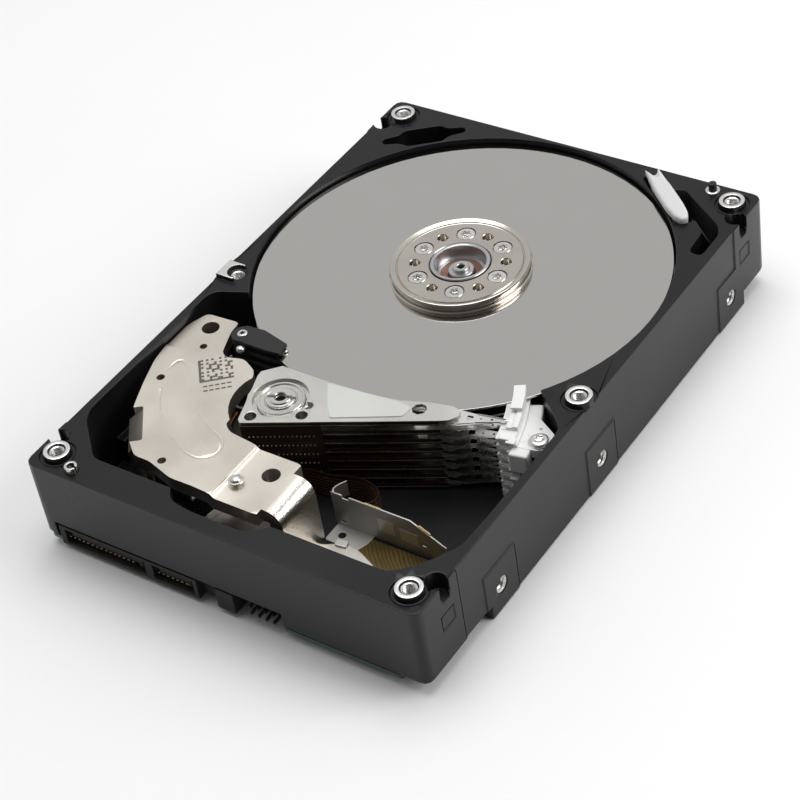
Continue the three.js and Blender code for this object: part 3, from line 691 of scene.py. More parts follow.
def gold_film():
    """Amber polyimide film with dark conductors that run side by side through it."""
    if "gold_film" in bpy.data.materials:
        return bpy.data.materials["gold_film"]
    material, tree, shader = new_material("gold_film", Coat_Weight=0.4, Coat_Roughness=0.15)
    place = tree.nodes.new("ShaderNodeTexCoord").outputs["Object"]
    bands = put(
        tree,
        "TexWave",
        {"bands_direction": "DIAGONAL"},
        Vector=place,
        Scale=520.0,
        Distortion=3.4,
        Detail=1.0,
        Detail_Scale=0.6,
    )
    patch = put(tree, "TexNoise", Vector=place, Scale=220.0, Detail=3.0)
    track = between(tree, bands.outputs[0], 0.55, 0.75)
    mottle = between(tree, patch.outputs[0], 0.3, 0.7)
    film = blend_colour(tree, mottle, (0.10, 0.068, 0.012, 1), (0.17, 0.112, 0.02, 1))
    feed(tree, shader.inputs["Base Color"], blend_colour(tree, track, film, (0.060, 0.039, 0.008, 1)))
    feed(tree, shader.inputs["Roughness"], blend_value(tree, track, 0.22, 0.34))
    bump = put(tree, "Bump", Strength=0.3, Distance=5e-5, Height=bands.outputs[0])
    feed(tree, shader.inputs["Normal"], bump.outputs[0])
    shader.inputs["Metallic"].default_value = 0.35
    return material


FOLD = (3.4, 5.4)  # where the magnet plate's fold starts and is full, along X


def yoke_nickel():
    """Warm satin nickel on pressed steel, with a coarse stretched grain where it is folded."""
    if "yoke_nickel" in bpy.data.materials:
        return bpy.data.materials["yoke_nickel"]
    material = grained(
        "yoke_nickel",
        (0.68, 0.63, 0.56),
        (0.76, 0.71, 0.64),
        (0.3, 0.4),
        grain=2600.0,
        patch=70.0,
        bump=0.5,
        Metallic=1.0,
    )
    tree = material.node_tree
    shader = tree.nodes["Principled BSDF"]
    grain = next(node for node in tree.nodes if node.type == "GROUP").outputs
    place = tree.nodes.new("ShaderNodeTexCoord").outputs["Object"]
    across = put(tree, "SeparateXYZ", Vector=place).outputs["X"]
    fold = between(tree, across, FOLD[0] * MM, FOLD[1] * MM)
    stretch = put(tree, "TexNoise", Vector=place, Scale=2300.0, Detail=2.0)
    bump = put(tree, "Bump", Distance=1.2e-4, Height=stretch.outputs[0], Normal=grain["Normal"])
    feed(tree, bump.inputs["Strength"], maths(tree, "MULTIPLY", fold, 0.55))
    feed(tree, shader.inputs["Normal"], bump.outputs[0])
    feed(tree, shader.inputs["Roughness"], blend_value(tree, fold, grain["Roughness"], 0.26))
    return material


def coined_line():
    return grained("coined_line", (0.50, 0.43, 0.33), (0.56, 0.49, 0.39), (0.6, 0.7), Metallic=0.8)


def etched_mark():
    return grained("etched_mark", (0.10, 0.09, 0.09), (0.15, 0.14, 0.13), (0.5, 0.6), Metallic=0.6)


def felt():
    """Non-woven filter felt."""
    return grained(
        "felt", (0.60, 0.60, 0.60), (0.68, 0.68, 0.68), (0.8, 0.95), grain=5200.0, bump=0.9, Sheen_Weight=0.3
    )


def solder_mask():
    """Green solder mask over tracks that run in straight, stepped lanes."""
    if "solder_mask" in bpy.data.materials:
        return bpy.data.materials["solder_mask"]
    material, tree, shader = new_material("solder_mask", Coat_Weight=0.3, Coat_Roughness=0.2)
    place = tree.nodes.new("ShaderNodeTexCoord").outputs["Object"]
    lanes = put(tree, "TexBrick", Vector=place, Scale=420.0, Mortar_Size=0.03, Bias=0.2)
    lanes.inputs["Color1"].default_value = (0.008, 0.060, 0.026, 1)
    lanes.inputs["Color2"].default_value = (0.012, 0.085, 0.038, 1)
    lanes.inputs["Mortar"].default_value = (0.004, 0.034, 0.016, 1)
    patch = put(tree, "TexNoise", Vector=place, Scale=90.0, Detail=4.0)
    feed(tree, shader.inputs["Base Color"], lanes.outputs["Color"])
    feed(tree, shader.inputs["Roughness"], between(tree, patch.outputs[0], 0.3, 0.7, 0.28, 0.45))
    bump = put(tree, "Bump", Strength=0.3, Distance=3e-5, Height=lanes.outputs["Fac"])
    feed(tree, shader.inputs["Normal"], bump.outputs[0])
    return material


def keep_nodes(material, *nodes):
    """Frame nodes whose shape is right stay, and get their finish."""
    for node in nodes:
        piece = frame["nodes"][node]
        if not piece.material_slots:
            piece.data.materials.append(material)
        piece.material_slots[0].material = material


# ---------------------------------------------------------------- settings


class DriveLook(bpy.types.PropertyGroup):
    """Sizes and colours that a user would change."""

    edge_rounding: FloatProperty(
        name="Edge Rounding",
        description="Radius on the casting's edges",
        default=0.00032,
        min=0.00005,
        unit="LENGTH",
    )
    disk_steps: IntProperty(
        name="Disk Steps", description="Corners round a disk's edge", default=256, min=64, max=512
    )
    thread_pitch: FloatProperty(
        name="Thread Pitch",
        description="Distance between the turns of the cover screws' threads",
        default=0.00045,
        min=0.0002,
        unit="LENGTH",
    )
    coating: FloatVectorProperty(
        name="Coating",
        description="Colour of the casting's black coating",
        default=(0.0065, 0.0067, 0.0075),
        subtype="COLOR",
    )
    disk_tone: FloatVectorProperty(
        name="Disk Tone",
        description="Colour of the disks' mirror",
        default=(0.60, 0.59, 0.57),
        subtype="COLOR",
    )
    floor_tone: FloatVectorProperty(
        name="Floor Tone", description="Colour of the floor", default=(0.90, 0.90, 0.90), subtype="COLOR"
    )
    camera_azimuth: FloatProperty(
        name="Camera Azimuth",
        description="Direction the camera stands in, from -Y towards +X",
        default=math.radians(40.15),
        subtype="ANGLE",
    )
    camera_elevation: FloatProperty(
        name="Camera Elevation",
        description="Height of the camera over the horizon",
        default=math.radians(40.91),
        subtype="ANGLE",
    )
    camera_roll: FloatProperty(
        name="Camera Roll",
        description="Turn of the camera about its own axis",
        default=math.radians(-10.07),
        subtype="ANGLE",
    )
    camera_distance: FloatProperty(
        name="Camera Distance",
        description="Distance from the camera to the drive's middle",
        default=0.51416,
        unit="LENGTH",
    )
    sky_strength: FloatProperty(
        name="Sky Strength", description="Brightness of the studio's walls", default=0.62, min=0
    )


# ---------------------------------------------------------------- the base


class DRIVE_OT_base_casting(bpy.types.Operator):
    """Rounds the cast base, and cuts its moats, threaded holes and shallow panels"""

    bl_idname = "drive.base_casting"
    bl_label = "Base Casting"

    def execute(self, context):
        look = context.scene.drive_look
        casting = cad_copy("base_casting")
        moats = [
            turned([(3.12, 23.4), (4.05, 23.4), (4.05, ABOVE), (3.12, ABOVE)], place, 64)
            for place in COVER_BOSSES
        ]
        holes = [
            turned([(1.62, 15.4), (1.62, 24.75), (2.1, BOSS_Z + 0.1)], place, 48, bored=False)
            for place in [*COVER_BOSSES, COVER_PAD]
        ]
        carve(casting, *moats, *holes)
        self.side_cuts(casting)
        triangles(casting)
        soften(casting, look.edge_rounding / MM, steps=2, angle=38, clamp=False)
        for side in (-1, 1):
            flush(casting, side)
        finished(casting, "base_casting_body", coated_casting(look), "base", "casting", "base_casting")
        return {"FINISHED"}

    def side_cuts(self, casting):
        """Mounting holes on the sides and the bottom, and the shallow panels by the corners."""
        cutters = []
        panel = 0.16
        for side in (-1, 1):
            for y in SIDE_HOLES:
                hole = rod(1.95, (0, 0), HALF_WIDTH - 3.7, HALF_WIDTH + 1, 40)
                cutters.append(placed(hole, across(side, y, SIDE_HOLE_Z)))
            for y in BOTTOM_HOLES:
                cutters.append(rod(1.95, (side * BOTTOM_HOLE_X, y), -1, 2.9, 40))
            x = sorted((side * (HALF_WIDTH - panel), side * (HALF_WIDTH + 1)))
            for y in ((-66.0, -61.6), (61.6, 66.0)):
                cutters.append(block(x, y, (12.6, 16.4)))
        carve(casting, *cutters)


def across(side, y, z):
    """Lays a piece that was made upright along X, so that its top faces that side."""
    return shift(0, y, z) @ Matrix.Rotation(side * math.radians(90), 4, "Y")


def thread(major, minor, bottom, top, pitch, segments=40):
    """A sleeve with ridges inside, which lines a hole as its thread."""
    turns = int((top - bottom) / pitch)
    inside = []
    for i in range(turns):
        crest = top - 0.15 - i * pitch
        inside += [(minor, crest), (minor, crest - 0.2 * pitch), (major, crest - 0.5 * pitch)]
    outer = major + 0.12
    return turned([(outer, inside[-1][1]), (outer, top), (major, top), *inside], segments=segments)


class DRIVE_OT_threads(bpy.types.Operator):
    """Lines the cover, side and bottom screw holes with bright threads"""

    bl_idname = "drive.threads"
    bl_label = "Screw Threads"

    def execute(self, context):
        pitch = context.scene.drive_look.thread_pitch / MM
        steel = bright_steel()
        cover = thread(1.58, 1.3, 19, 24.7, pitch)
        for i, place in enumerate([*COVER_BOSSES, COVER_PAD]):
            sleeve = twin(cover, shift(*place, 0 if i < len(COVER_BOSSES) else -0.9))
            finished(sleeve, f"cover_thread_{i + 1}", steel, "base", "steel")
        bpy.data.objects.remove(cover)
        side = thread(1.86, 1.5, HALF_WIDTH - 3.6, HALF_WIDTH - 0.42, 0.8)
        lip = turned(
            [(1.62, 50.15), (2.0, 50.15), (2.0, 50.42), (1.9, 50.5), (1.72, 50.42)], segments=48
        )
        side = together([side, lip])
        for i, y in enumerate(SIDE_HOLES * 2):
            direction = 1 if i < len(SIDE_HOLES) else -1
            sleeve = twin(side, across(direction, y, SIDE_HOLE_Z))
            finished(sleeve, f"side_thread_{i + 1}", steel, "base", "steel")
        bpy.data.objects.remove(side)
        bottom = thread(1.86, 1.5, 0.3, 2.8, 0.8)
        for i, y in enumerate(BOTTOM_HOLES * 2):
            direction = 1 if i < len(BOTTOM_HOLES) else -1
            sleeve = twin(bottom, shift(direction * BOTTOM_HOLE_X, y))
            finished(sleeve, f"bottom_thread_{i + 1}", steel, "base", "steel")
        bpy.data.objects.remove(bottom)
        return {"FINISHED"}


# ---------------------------------------------------------------- spindle and disks


class DRIVE_OT_disk_stack(bpy.types.Operator):
    """Turns one disk with fine edges and stacks its copies on their spacers"""

    bl_idname = "drive.disk_stack"
    bl_label = "Disk Stack"

    def execute(self, context):
        look = context.scene.drive_look
        bore, edge = 12.5, 0.09
        low = TOP_DISK - DISK_T
        profile = [
            (bore, low), (DISK_R - edge * 1.6, low), (DISK_R - edge * 0.4, low + edge * 0.4),
            (DISK_R, low + edge * 1.6), (DISK_R, TOP_DISK - edge * 1.6),
            (DISK_R - edge * 0.4, TOP_DISK - edge * 0.4),
            (DISK_R - edge * 1.6, TOP_DISK),
            (bore, TOP_DISK),
        ]
        first = smooth(turned(profile, SPINDLE, look.disk_steps), 40)
        mirror = mirror_disk(look)
        for k in range(DISKS):
            disk = twin(first, shift(z=-DISK_PITCH * k))
            finished(disk, f"disk_{k + 1}_mirror", mirror, "rotor", "disk", f"disk_{k + 1}")
        bpy.data.objects.remove(first)
        keep_nodes(machined_aluminium(), *(f"disk_spacer_{k + 1}" for k in range(DISKS - 1)))
        return {"FINISHED"}


class DRIVE_OT_clamp(bpy.types.Operator):
    """Turns the disk clamp with its grooved rim, and sinks its screws in it"""

    bl_idname = "drive.clamp"
    bl_label = "Disk Clamp"

    FACE = 24.42

    def execute(self, context):
        self.clamp_ring()
        self.screws()
        return {"FINISHED"}

    def clamp_ring(self):
        profile = [
            (7.25, TOP_DISK), (16.4, TOP_DISK), (16.55, TOP_DISK + 0.12), (16.55, 22.8),
            (16.35, 22.98), (15.7, 23.0), (15.5, 23.15), (15.5, 23.62), (15.7, 23.8), (16.1, 23.82),
            (16.25, 23.97), (16.25, 24.6), (16.12, 24.82), (15.9, 24.9), (15.7, 24.87),
            (14.95, 24.5), (14.82, 24.25), (14.6, 24.15), (14.48, 24.25), (14.4, self.FACE),
            (7.35, self.FACE), (7.25, self.FACE - 0.1),
        ]
        ring = turned(profile, SPINDLE, 192)
        places = ring_places(6, CLAMP_SCREW_RING, CLAMP_SCREW_START, SPINDLE)
        between_places = ring_places(6, CLAMP_SCREW_RING, CLAMP_SCREW_START - 30, SPINDLE)
        seats = [rod(2.34, place, 23.3, ABOVE, 48) for place in places]
        holes = [
            turned([(1.25, 22.7), (1.25, self.FACE - 0.12), (1.5, self.FACE + 0.14)], place, 40, bored=False)
            for place in between_places
        ]
        carve(ring, *seats, *holes)
        smooth(ring, 32)
        finished(ring, "clamp_ring", clamp_nickel(), "rotor", "clamp", "disk_clamp")

    def screws(self):
        seat, top = 23.3, self.FACE - 0.06
        screw = turned(
            [(0.95, 20.2), (0.95, seat), (2.14, seat), (2.16, top - 0.16), (2.0, top)], segments=64, bored=False
        )
        screw = carve(screw, star_socket(1.1, 0.2, top - 1.0, top + 1))
        soften(screw, 0.05, angle=40)
        steel = bright_steel()
        for i, place in enumerate(ring_places(6, CLAMP_SCREW_RING, CLAMP_SCREW_START, SPINDLE)):
            copy = twin(screw, shift(*place) @ turn(23 * i))
            finished(copy, f"clamp_screw_{i + 1}_torx", steel, "rotor", "steel", f"clamp_screw_{i + 1}")
        bpy.data.objects.remove(screw)


def star_socket(radius, wave, bottom, top, lobes=6, steps=48):
    """A cutter for a lobed drive socket, with a cone at its bottom."""
    angles = [i * 2 * math.pi / steps for i in range(steps)]
    reach = [radius + wave * math.cos(lobes * a) for a in angles]
    corners = [(r * math.cos(a), r * math.sin(a)) for r, a in zip(reach, angles)]
    cutter = plate(corners, bottom, top)
    choose_faces(cutter, lambda middle, normal: normal.z < -0.9)
    bpy.ops.mesh.extrude_region_move(TRANSFORM_OT_translate={"value": (0, 0, -0.25 * MM)})
    bpy.ops.transform.resize(value=(0.1, 0.1, 1), center_override=(0, 0, bottom * MM))
    outward(cutter)
    return cutter


class DRIVE_OT_spindle(bpy.types.Operator):
    """Turns the hub with its bright collar, the shaft's cap and the ring between them"""

    bl_idname = "drive.spindle"
    bl_label = "Spindle"

    def execute(self, context):
        flange_top = disk_top(DISKS - 1) - DISK_T
        hub = [
            (3.4, 8.6), (4.6, 8.6), (4.6, 18.2), (11.2, 18.2), (11.2, 5.0), (15.8, 5.0),
            (15.8, flange_top), (12.3, flange_top), (12.3, 22.2), (6.95, 22.2), (6.95, 24.55),
            (6.8, 24.72), (6.35, 24.74), (6.05, 24.55), (5.95, 24.3), (5.95, 21.9), (5.7, 21.55),
            (4.95, 21.5), (4.85, 21.2), (3.4, 21.0),
        ]
        collar = turned(hub, SPINDLE, 128)
        threads = ring_places(6, CLAMP_SCREW_RING, CLAMP_SCREW_START - 30, SPINDLE)
        carve(collar, *(rod(1.2, place, 18.9, 23, 32) for place in threads))
        smooth(collar, 30)
        finished(collar, "hub_collar", hub_steel(), "rotor", "aluminium", "spindle_hub")
        seal = smooth(turned([(3.2, 20.6), (4.9, 20.6), (4.9, 21.42), (3.2, 21.3)], SPINDLE, 96), 30)
        finished(seal, "spindle_seal", stained_copper(), "rotor", "copper")
        cap = [
            (0.72, 2.6), (4.4, 2.6), (4.4, 3.4), (3.0, 3.4), (3.0, 22.35), (2.85, 22.5),
            (2.05, 22.5), (2.0, 22.4), (1.9, 22.5), (1.9, 23.18), (1.78, 23.3), (1.0, 23.3),
            (0.85, 23.15), (0.72, 22.6),
        ]
        shaft = smooth(turned(cap, SPINDLE, 96), 24)
        finished(shaft, "spindle_shaft_cap", hub_steel(), "base", "steel", "spindle_shaft")
        keep_nodes(stained_copper(), "motor_stator")
        keep_nodes(plated_magnet(), "rotor_magnet")
        return {"FINISHED"}


# ---------------------------------------------------------------- the arm


def ribbon(points, width, bottom, thickness):
    """A flat strip that follows points in its plane."""
    left, right = [], []
    for i, (x, y) in enumerate(points):
        ahead = points[min(i + 1, len(points) - 1)]
        behind = points[max(i - 1, 0)]
        dx, dy = ahead[0] - behind[0], ahead[1] - behind[1]
        length = math.hypot(dx, dy)
        left.append((x - dy / length * width / 2, y + dx / length * width / 2))
        right.append((x + dy / length * width / 2, y - dx / length * width / 2))
    return plate(left + right[::-1], bottom, bottom + thickness)


def pipe(points, radius, segments=10):
    """A round bar along points: a swept curve, turned into a mesh."""
    while len(points) < 5:
        halfway = tuple((a + b) / 2 for a, b in zip(points[-2], points[-1]))
        points = [*points[:-1], halfway, points[-1]]
    pick()
    bpy.ops.curve.primitive_nurbs_path_add()
    piece = bpy.context.object
    spline = piece.data.splines[0]
    spline.points.add(len(points) - len(spline.points))
    for knot, place in zip(spline.points, points):
        knot.co = (*(value * MM for value in place), 1)
    piece.data.bevel_depth = radius * MM
    piece.data.bevel_resolution = segments // 4
    piece.data.use_fill_caps = True
    piece.data.resolution_u = 4
    spline.use_endpoint_u = True
    spline.order_u = 3
    bpy.ops.object.convert(target="MESH")
    piece = bpy.context.object
    bpy.ops.object.transform_apply()
    outward(piece)
    return piece


class DRIVE_OT_arm_block(bpy.types.Operator):
    """Rounds the stack of arms, and lays the damper sheet and the bearing's rings on it"""

    bl_idname = "drive.arm_block"
    bl_label = "Arm Block"

    TOP = 23.83

    def execute(self, context):
        block_piece = cad_copy("arm_block")
        recess = placed(rod(6.35, (0, 0), self.TOP - 1.3, ABOVE, 96), ON_ARM)
        carve(block_piece, recess)
        triangles(block_piece)
        soften(block_piece, 0.1, steps=2, angle=40)
        finished(block_piece, "arm_stack", arm_nickel(), "actuator", "aluminium", "arm_block")
        self.damper()
        self.bearing()
        self.side_circuit()
        return {"FINISHED"}

    def damper(self):
        """A thin sheet stuck on the top arm, cut out round the arm's hole."""
        corners = [(8.9, 5.9), (26.6, 1.9), (29.6, 0.4), (28.3, -2.5), (12.8, -5.0), (11.0, -1.0)]
        sheet = plate(corners, self.TOP + 0.02, self.TOP + 0.16, rounding=0.5)
        soften(sheet, 0.04, steps=1)
        finished(placed(sheet, ON_ARM), "damper_sheet", damper_film(), "actuator", "nickel")

    def bearing(self):
        """Bearing shield, sleeve rim, slotted cap and the gap ring between them."""
        shield = turned(
            [
                (3.5, 22.6), (5.35, 22.6), (5.35, 23.6), (5.25, 23.7), (4.85, 23.7), (4.75, 23.6),
                (4.75, 23.42), (3.75, 23.42), (3.6, 23.3), (3.5, 23.3),
            ],
            PIVOT,
            96,
        )
        smooth(shield, 32)
        finished(shield, "bearing_shield", pivot_steel(), "actuator", "steel", "pivot_sleeve")
        sleeve = smooth(turned([(3.35, 4.9), (5.2, 4.9), (5.2, 23.1), (3.35, 23.1)], PIVOT, 64), 32)
        finished(sleeve, "bearing_sleeve", pivot_steel(), "actuator", "steel")
        axle = [(1.2, 4.0), (4.6, 4.0), (4.6, 4.5), (3.1, 4.5), (3.1, 23.4), (1.2, 23.4)]
        shaft = smooth(turned(axle, PIVOT, 64), 32)
        finished(shaft, "pivot_axle", pivot_steel(), "base", "steel", "pivot_shaft")
        cap = turned(
            [
                (1.3, 22.6), (3.3, 22.6), (3.3, 23.72), (3.18, 23.84), (2.6, 23.84), (2.5, 24.1),
                (2.4, 24.2), (1.5, 24.2), (1.3, 24.0),
            ],
            PIVOT,
            72,
        )
        slot = placed(block((-4, 4), (-0.5, 0.5), (23.5, ABOVE)), shift(*PIVOT) @ turn(20))
        carve(cap, slot)
        smooth(cap, 32)
        finished(cap, "pivot_cap", pivot_steel(), "base", "steel", "pivot_screw")

    def side_circuit(self):
        """The brown circuit on the block's side with its rows of joints, and its clamp screw."""
        film = brown_film()
        sheet = plate([(-6.4, -9.45), (11.2, -6.85), (11.25, -7.1), (-6.35, -9.75)], 5.2, 23.3)
        finished(placed(soften(sheet, 0.05, steps=1), ON_ARM), "side_circuit", film, "actuator", "flex")
        start, across_x, across_y = (-5.6, -9.72), 17.6, 2.6
        joint = turned([(0.2, 0), (0.18, 0.1), (0.08, 0.16)], segments=8, bored=False)
        row_length, rows, columns = 0.86, 6, 16
        places = []
        side = Matrix.Rotation(math.radians(90), 4, "X")
        slope = Matrix.Rotation(math.atan2(across_y, across_x), 4, "Z")
        for row in range(rows):
            for column in range(columns):
                along = 0.04 + row_length * column / columns + 0.01 * (row % 2)
                x = start[0] + across_x * along
                y = start[1] + across_y * along
                places.append(ON_ARM @ shift(x, y, 7.4 + 2.6 * row) @ slope @ side)
        dots = copies(joint, places)
        finished(dots, "side_circuit_joints", bright_steel(), "actuator", "flex")
        screw = soften(
            carve(
                rod(1.15, (0, 0), 0, 0.7, 32),
                star_socket(0.5, 0.09, 0.4, 1.5),
            ),
            0.06,
        )
        screw = placed(screw, ON_ARM @ shift(-4.4, -9.7, 15.8) @ slope @ side)
        finished(screw, "side_circuit_screw", bright_steel(), "actuator", "steel")


def arm_nickel():
    """Satin plating on the machined aluminium arms."""
    return grained(
        "arm_nickel", (0.66, 0.65, 0.61), (0.73, 0.72, 0.68), (0.26, 0.36), grain=3000.0, Metallic=1.0
    )


class DRIVE_OT_trace_ribbons(bpy.types.Operator):
    """Lays a brown trace ribbon along the front of every arm, with a thin bright steel strip on each as a
    painted highlight
    """

    bl_idname = "drive.trace_ribbons"
    bl_label = "Trace Ribbons"

    def execute(self, context):
        film = brown_film()
        edge = [(9.0, -7.0), (20.0, -5.45), (34.6, -3.3), (36.6, -3.0)]
        first = ribbon(edge, 0.16, 0, 1.25)
        # A thin bright steel strip on every ribbon: a painted highlight that stands in for the light glinting
        # along the ribbon.
        line = ribbon([(x, y - 0.12) for x, y in edge], 0.05, 0.25, 0.2)
        for k in range(ARMS):
            level = arm_middle(k) - 0.62
            finished(twin(first, ON_ARM @ shift(z=level)), f"trace_ribbon_{k + 1}", film, "actuator", "flex")
            # This arm's painted highlight strip.
            bright = twin(line, ON_ARM @ shift(z=level))
            finished(bright, f"trace_line_{k + 1}", bright_steel(), "actuator", "flex")
        bpy.data.objects.remove(first)
        bpy.data.objects.remove(line)
        return {"FINISHED"}


class DRIVE_OT_suspensions(bpy.types.Operator):
    """Forms one suspension with its base plate, hinge, load beam, head and lift tab, and copies it"""

    bl_idname = "drive.suspensions"
    bl_label = "Head Suspensions"

    def execute(self, context):
        steel = bright_steel()
        beam = self.load_beam()
        trace = self.trace()
        for k in range(ARMS):
            level = arm_middle(k)
            down = -1 if k == 0 else 1
            node = f"head_suspension_{k + 1}"
            flip = Matrix.Scale(down, 4, (0, 0, 1))
            place = ON_ARM @ shift(z=level) @ flip
            finished(twin(beam, place), f"load_beam_{k + 1}", steel, "actuator", "steel", node)
            finished(twin(trace, place), f"head_trace_{k + 1}", steel, "actuator", "flex")
        bpy.data.objects.remove(beam)
        bpy.data.objects.remove(trace)
        return {"FINISHED"}

    def load_beam(self):
        """Drawn under arm height 0: a base plate on the arm, then a thin tapered beam."""
        corners = [(35.3, -1.9), (40.2, -2.25), (41.2, -1.9), (41.2, 1.9), (40.2, 2.15), (35.3, 1.9)]
        base = plate(corners, 0.47, 0.66, 0.4)
        base = carve(base, rod(0.55, (40.0, 0), 0, 1, 24))
        swage = turned([(0.8, 0.6), (1.25, 0.6), (1.2, 0.78), (0.9, 0.78)], (37.4, 0.1), 32)
        sides = [(40.6, 2.0), (44.0, 1.3), (48.8, 0.72), (50.4, 0.5)]
        beam = plate([(x, -y) for x, y in sides] + [(x, y) for x, y in reversed(sides)], 0.5, 0.6)
        holes = [
            plate([(41.9, -0.75), (43.3, -0.6), (43.3, 0.6), (41.9, 0.75)], 0, 1, 0.25),
            rod(0.22, (45.0, 0), 0, 1, 16),
            rod(0.3, (47.4, 0), 0, 1, 16),
        ]
        carve(beam, *holes)
        flanges = []
        for side in (-1, 1):
            edge = [(x, side * (y - 0.04)) for x, y in sides[1:]]
            flanges.append(ribbon(edge, 0.08, 0.3, 0.26))
        tab = pipe([(50.2, 0, 0.5), (50.9, 0, 0.42), (51.4, 0, 0.42), (52.0, 0, 0.5)], 0.17)
        head = block((48.4, 49.6), (-0.45, 0.45), (0.62, 0.86))
        soften(head, 0.06)
        whole = together([base, swage, beam, *flanges, tab, head])
        return smooth(whole, 30)

    def trace(self):
        path = [(36.0, -2.35), (40.6, -2.5), (44.2, -1.55), (47.6, -1.0), (48.6, -0.3)]
        return ribbon(path, 0.34, 0.56, 0.05)


class DRIVE_OT_voice_coil(bpy.types.Operator):
    """Rounds the coil and its plastic frame"""

    bl_idname = "drive.voice_coil"
    bl_label = "Voice Coil"

    def execute(self, context):
        coil = rounded_copy("voice_coil", 0.5, steps=3, angle=50)
        finished(coil, "coil_winding", winding_copper(), "actuator", "copper", "voice_coil")
        holder = rounded_copy("coil_frame", 0.25)
        finished(holder, "coil_holder", black_plastic(), "actuator", "black_plastic", "coil_frame")
        return {"FINISHED"}


# ---------------------------------------------------------------- the magnet assembly


def from_pivot(radius, degrees):
    angle = math.radians(degrees)
    return PIVOT[0] + radius * math.cos(angle), PIVOT[1] + radius * math.sin(angle)


class DRIVE_OT_magnet_plate(bpy.types.Operator):
    """Rounds the upper magnet plate, and coins its groove, its step and its marks"""

    bl_idname = "drive.magnet_plate"
    bl_label = "Magnet Plate"

    TOP = 22.2
    SEAM = [(-49.5, -26.9), (-44.0, -26.6), (-39.1, -25.8), (-36.6, -24.7), (-34.2, -22.6)]
    BALL = (-6.4, -56.3)
    LEG_BEARING = 217  # degrees round the pivot
    CODE_PLACE = (-32.2, -29.2)
    MARK_Z = (22.18, 22.23)

    def execute(self, context):
        yoke = cad_copy("upper_yoke")
        carve(yoke, self.low_lobe())
        carve(yoke, self.leg_step())
        holes = [
            rod(radius, place, 17, ABOVE, 40)
            for place, radius in (
                ((-40.0, -23.7), 0.75),
                ((-42.1, -36.8), 0.7),
                ((-24.8, -58.5), 0.8),
            )
        ]
        carve(yoke, *holes)
        carve(yoke, self.groove())
        carve(yoke, self.seam())
        triangles(yoke)
        soften(yoke, 0.28, steps=3, angle=45)
        finished(yoke, "magnet_plate", yoke_nickel(), "base", "nickel", "upper_yoke")
        self.groove_line()
        self.ball()
        self.code_cells()
        self.lower_side()
        return {"FINISHED"}

    def low_lobe(self):
        """The plate past a curved seam at its back left is pressed a little lower."""
        corners = [*self.SEAM, (-33.5, -20.5), (-33.5, -10.0), (-52.0, -10.0), (-52.0, -26.9)]
        return plate(corners, self.TOP - 0.42, ABOVE)

    def seam(self):
        """The fine line along the step of the lower lobe."""
        route = [(-52, -27.3), *self.SEAM, (-33.2, -19.6)]
        return pipe([(x, y, self.TOP) for x, y in route], 0.3, 8)

    def leg_step(self):
        """The sloped step over the leg that folds down at the front left."""
        slope = Matrix.Rotation(math.radians(38), 4, "Y")
        corners = [(0, -5.6), (9, -5.6), (9, 5.6), (0, 5.6)]
        cutter = placed(plate(corners, 0, 9, rounding=0.5), shift(30.6, 0, self.TOP - 0.15) @ slope)
        return placed(cutter, shift(*PIVOT) @ turn(self.LEG_BEARING))

    def groove_route(self):
        """A kidney line over the magnet, open at its back left end."""
        return [
            (-42.1, -33.5), (-42.5, -31.0), (-41.2, -29.7), (-38.6, -31.4), (-35.4, -35.6),
            (-32.1, -38.6), (-27.6, -42.2), (-23.3, -44.7), (-19.0, -46.5), (-16.2, -47.6),
            (-15.0, -50.0), (-15.6, -53.0), (-18.0, -54.6), (-21.4, -54.3), (-26.0, -52.4),
            (-30.3, -49.9), (-33.8, -47.3), (-36.5, -44.5), (-38.4, -42.1), (-39.7, -39.7),
        ]

    def groove(self):
        return pipe([(x, y, self.TOP + 0.8) for x, y in self.groove_route()], 0.92, 12)

    def groove_line(self):
        """The tarnished bottom of the coined groove."""
        line = pipe([(x, y, self.TOP - 0.56) for x, y in self.groove_route()], 0.5, 12)
        finished(smooth(line, 60), "coined_groove", coined_line(), "base", "nickel")

    def ball(self):
        pick()
        x, y = self.BALL
        place = (x * MM, y * MM, (self.TOP + 0.05) * MM)
        bpy.ops.mesh.primitive_uv_sphere_add(segments=40, ring_count=24, radius=1.3 * MM, location=place)
        ball = bpy.context.object
        bpy.ops.object.transform_apply()
        edit(ball)
        bpy.ops.transform.resize(value=(1, 1, 0.6), center_override=place)
        object_mode()
        rim = [(1.25, self.TOP), (1.75, self.TOP), (1.65, self.TOP + 0.1), (1.3, self.TOP + 0.12)]
        collar = turned(rim, self.BALL, 40)
        finished(smooth(together([ball, collar]), 40), "locating_ball", bright_steel(), "base", "steel")

    def code_cells(self):
        """Etched squares in a checked field and two rows of plain dashes beside it."""
        cell, rows = 0.6, 13
        field = shift(*self.CODE_PLACE) @ turn(40)
        places = []
        for row in range(rows):
            for column in range(rows):
                border = row == 0 or column == 0
                if border or (row * 5 + column * 3 + row * column) % 7 in (0, 2, 5):
                    places.append(field @ shift((column - rows / 2) * cell, (row - rows / 2) * cell))
        cells = copies(block((0, cell * 0.96), (0, cell * 0.96), self.MARK_Z), places)
        places = [
            field @ shift(-3.2 + 1.35 * i, -5.6 - 1.5 * line) for line in range(2) for i in range(5)
        ]
        dashes = copies(block((0, 1.0), (0, 0.42), self.MARK_Z), places)
        finished(together([cells, dashes]), "etched_marks", etched_mark(), "base", "nickel")

    def lower_side(self):
        """The magnets, and the plate that the lower one lies on."""
        lower = rounded_copy("lower_yoke", 0.22, angle=45)
        finished(lower, "lower_magnet_plate", yoke_nickel(), "base", "nickel", "lower_yoke")
        for node in ("upper_magnet", "lower_magnet"):
            piece = rounded_copy(node, 0.2, angle=45)
            finished(piece, node + "_plated", plated_magnet(), "base", "magnet", node)


# ---------------------------------------------------------------- the ramp


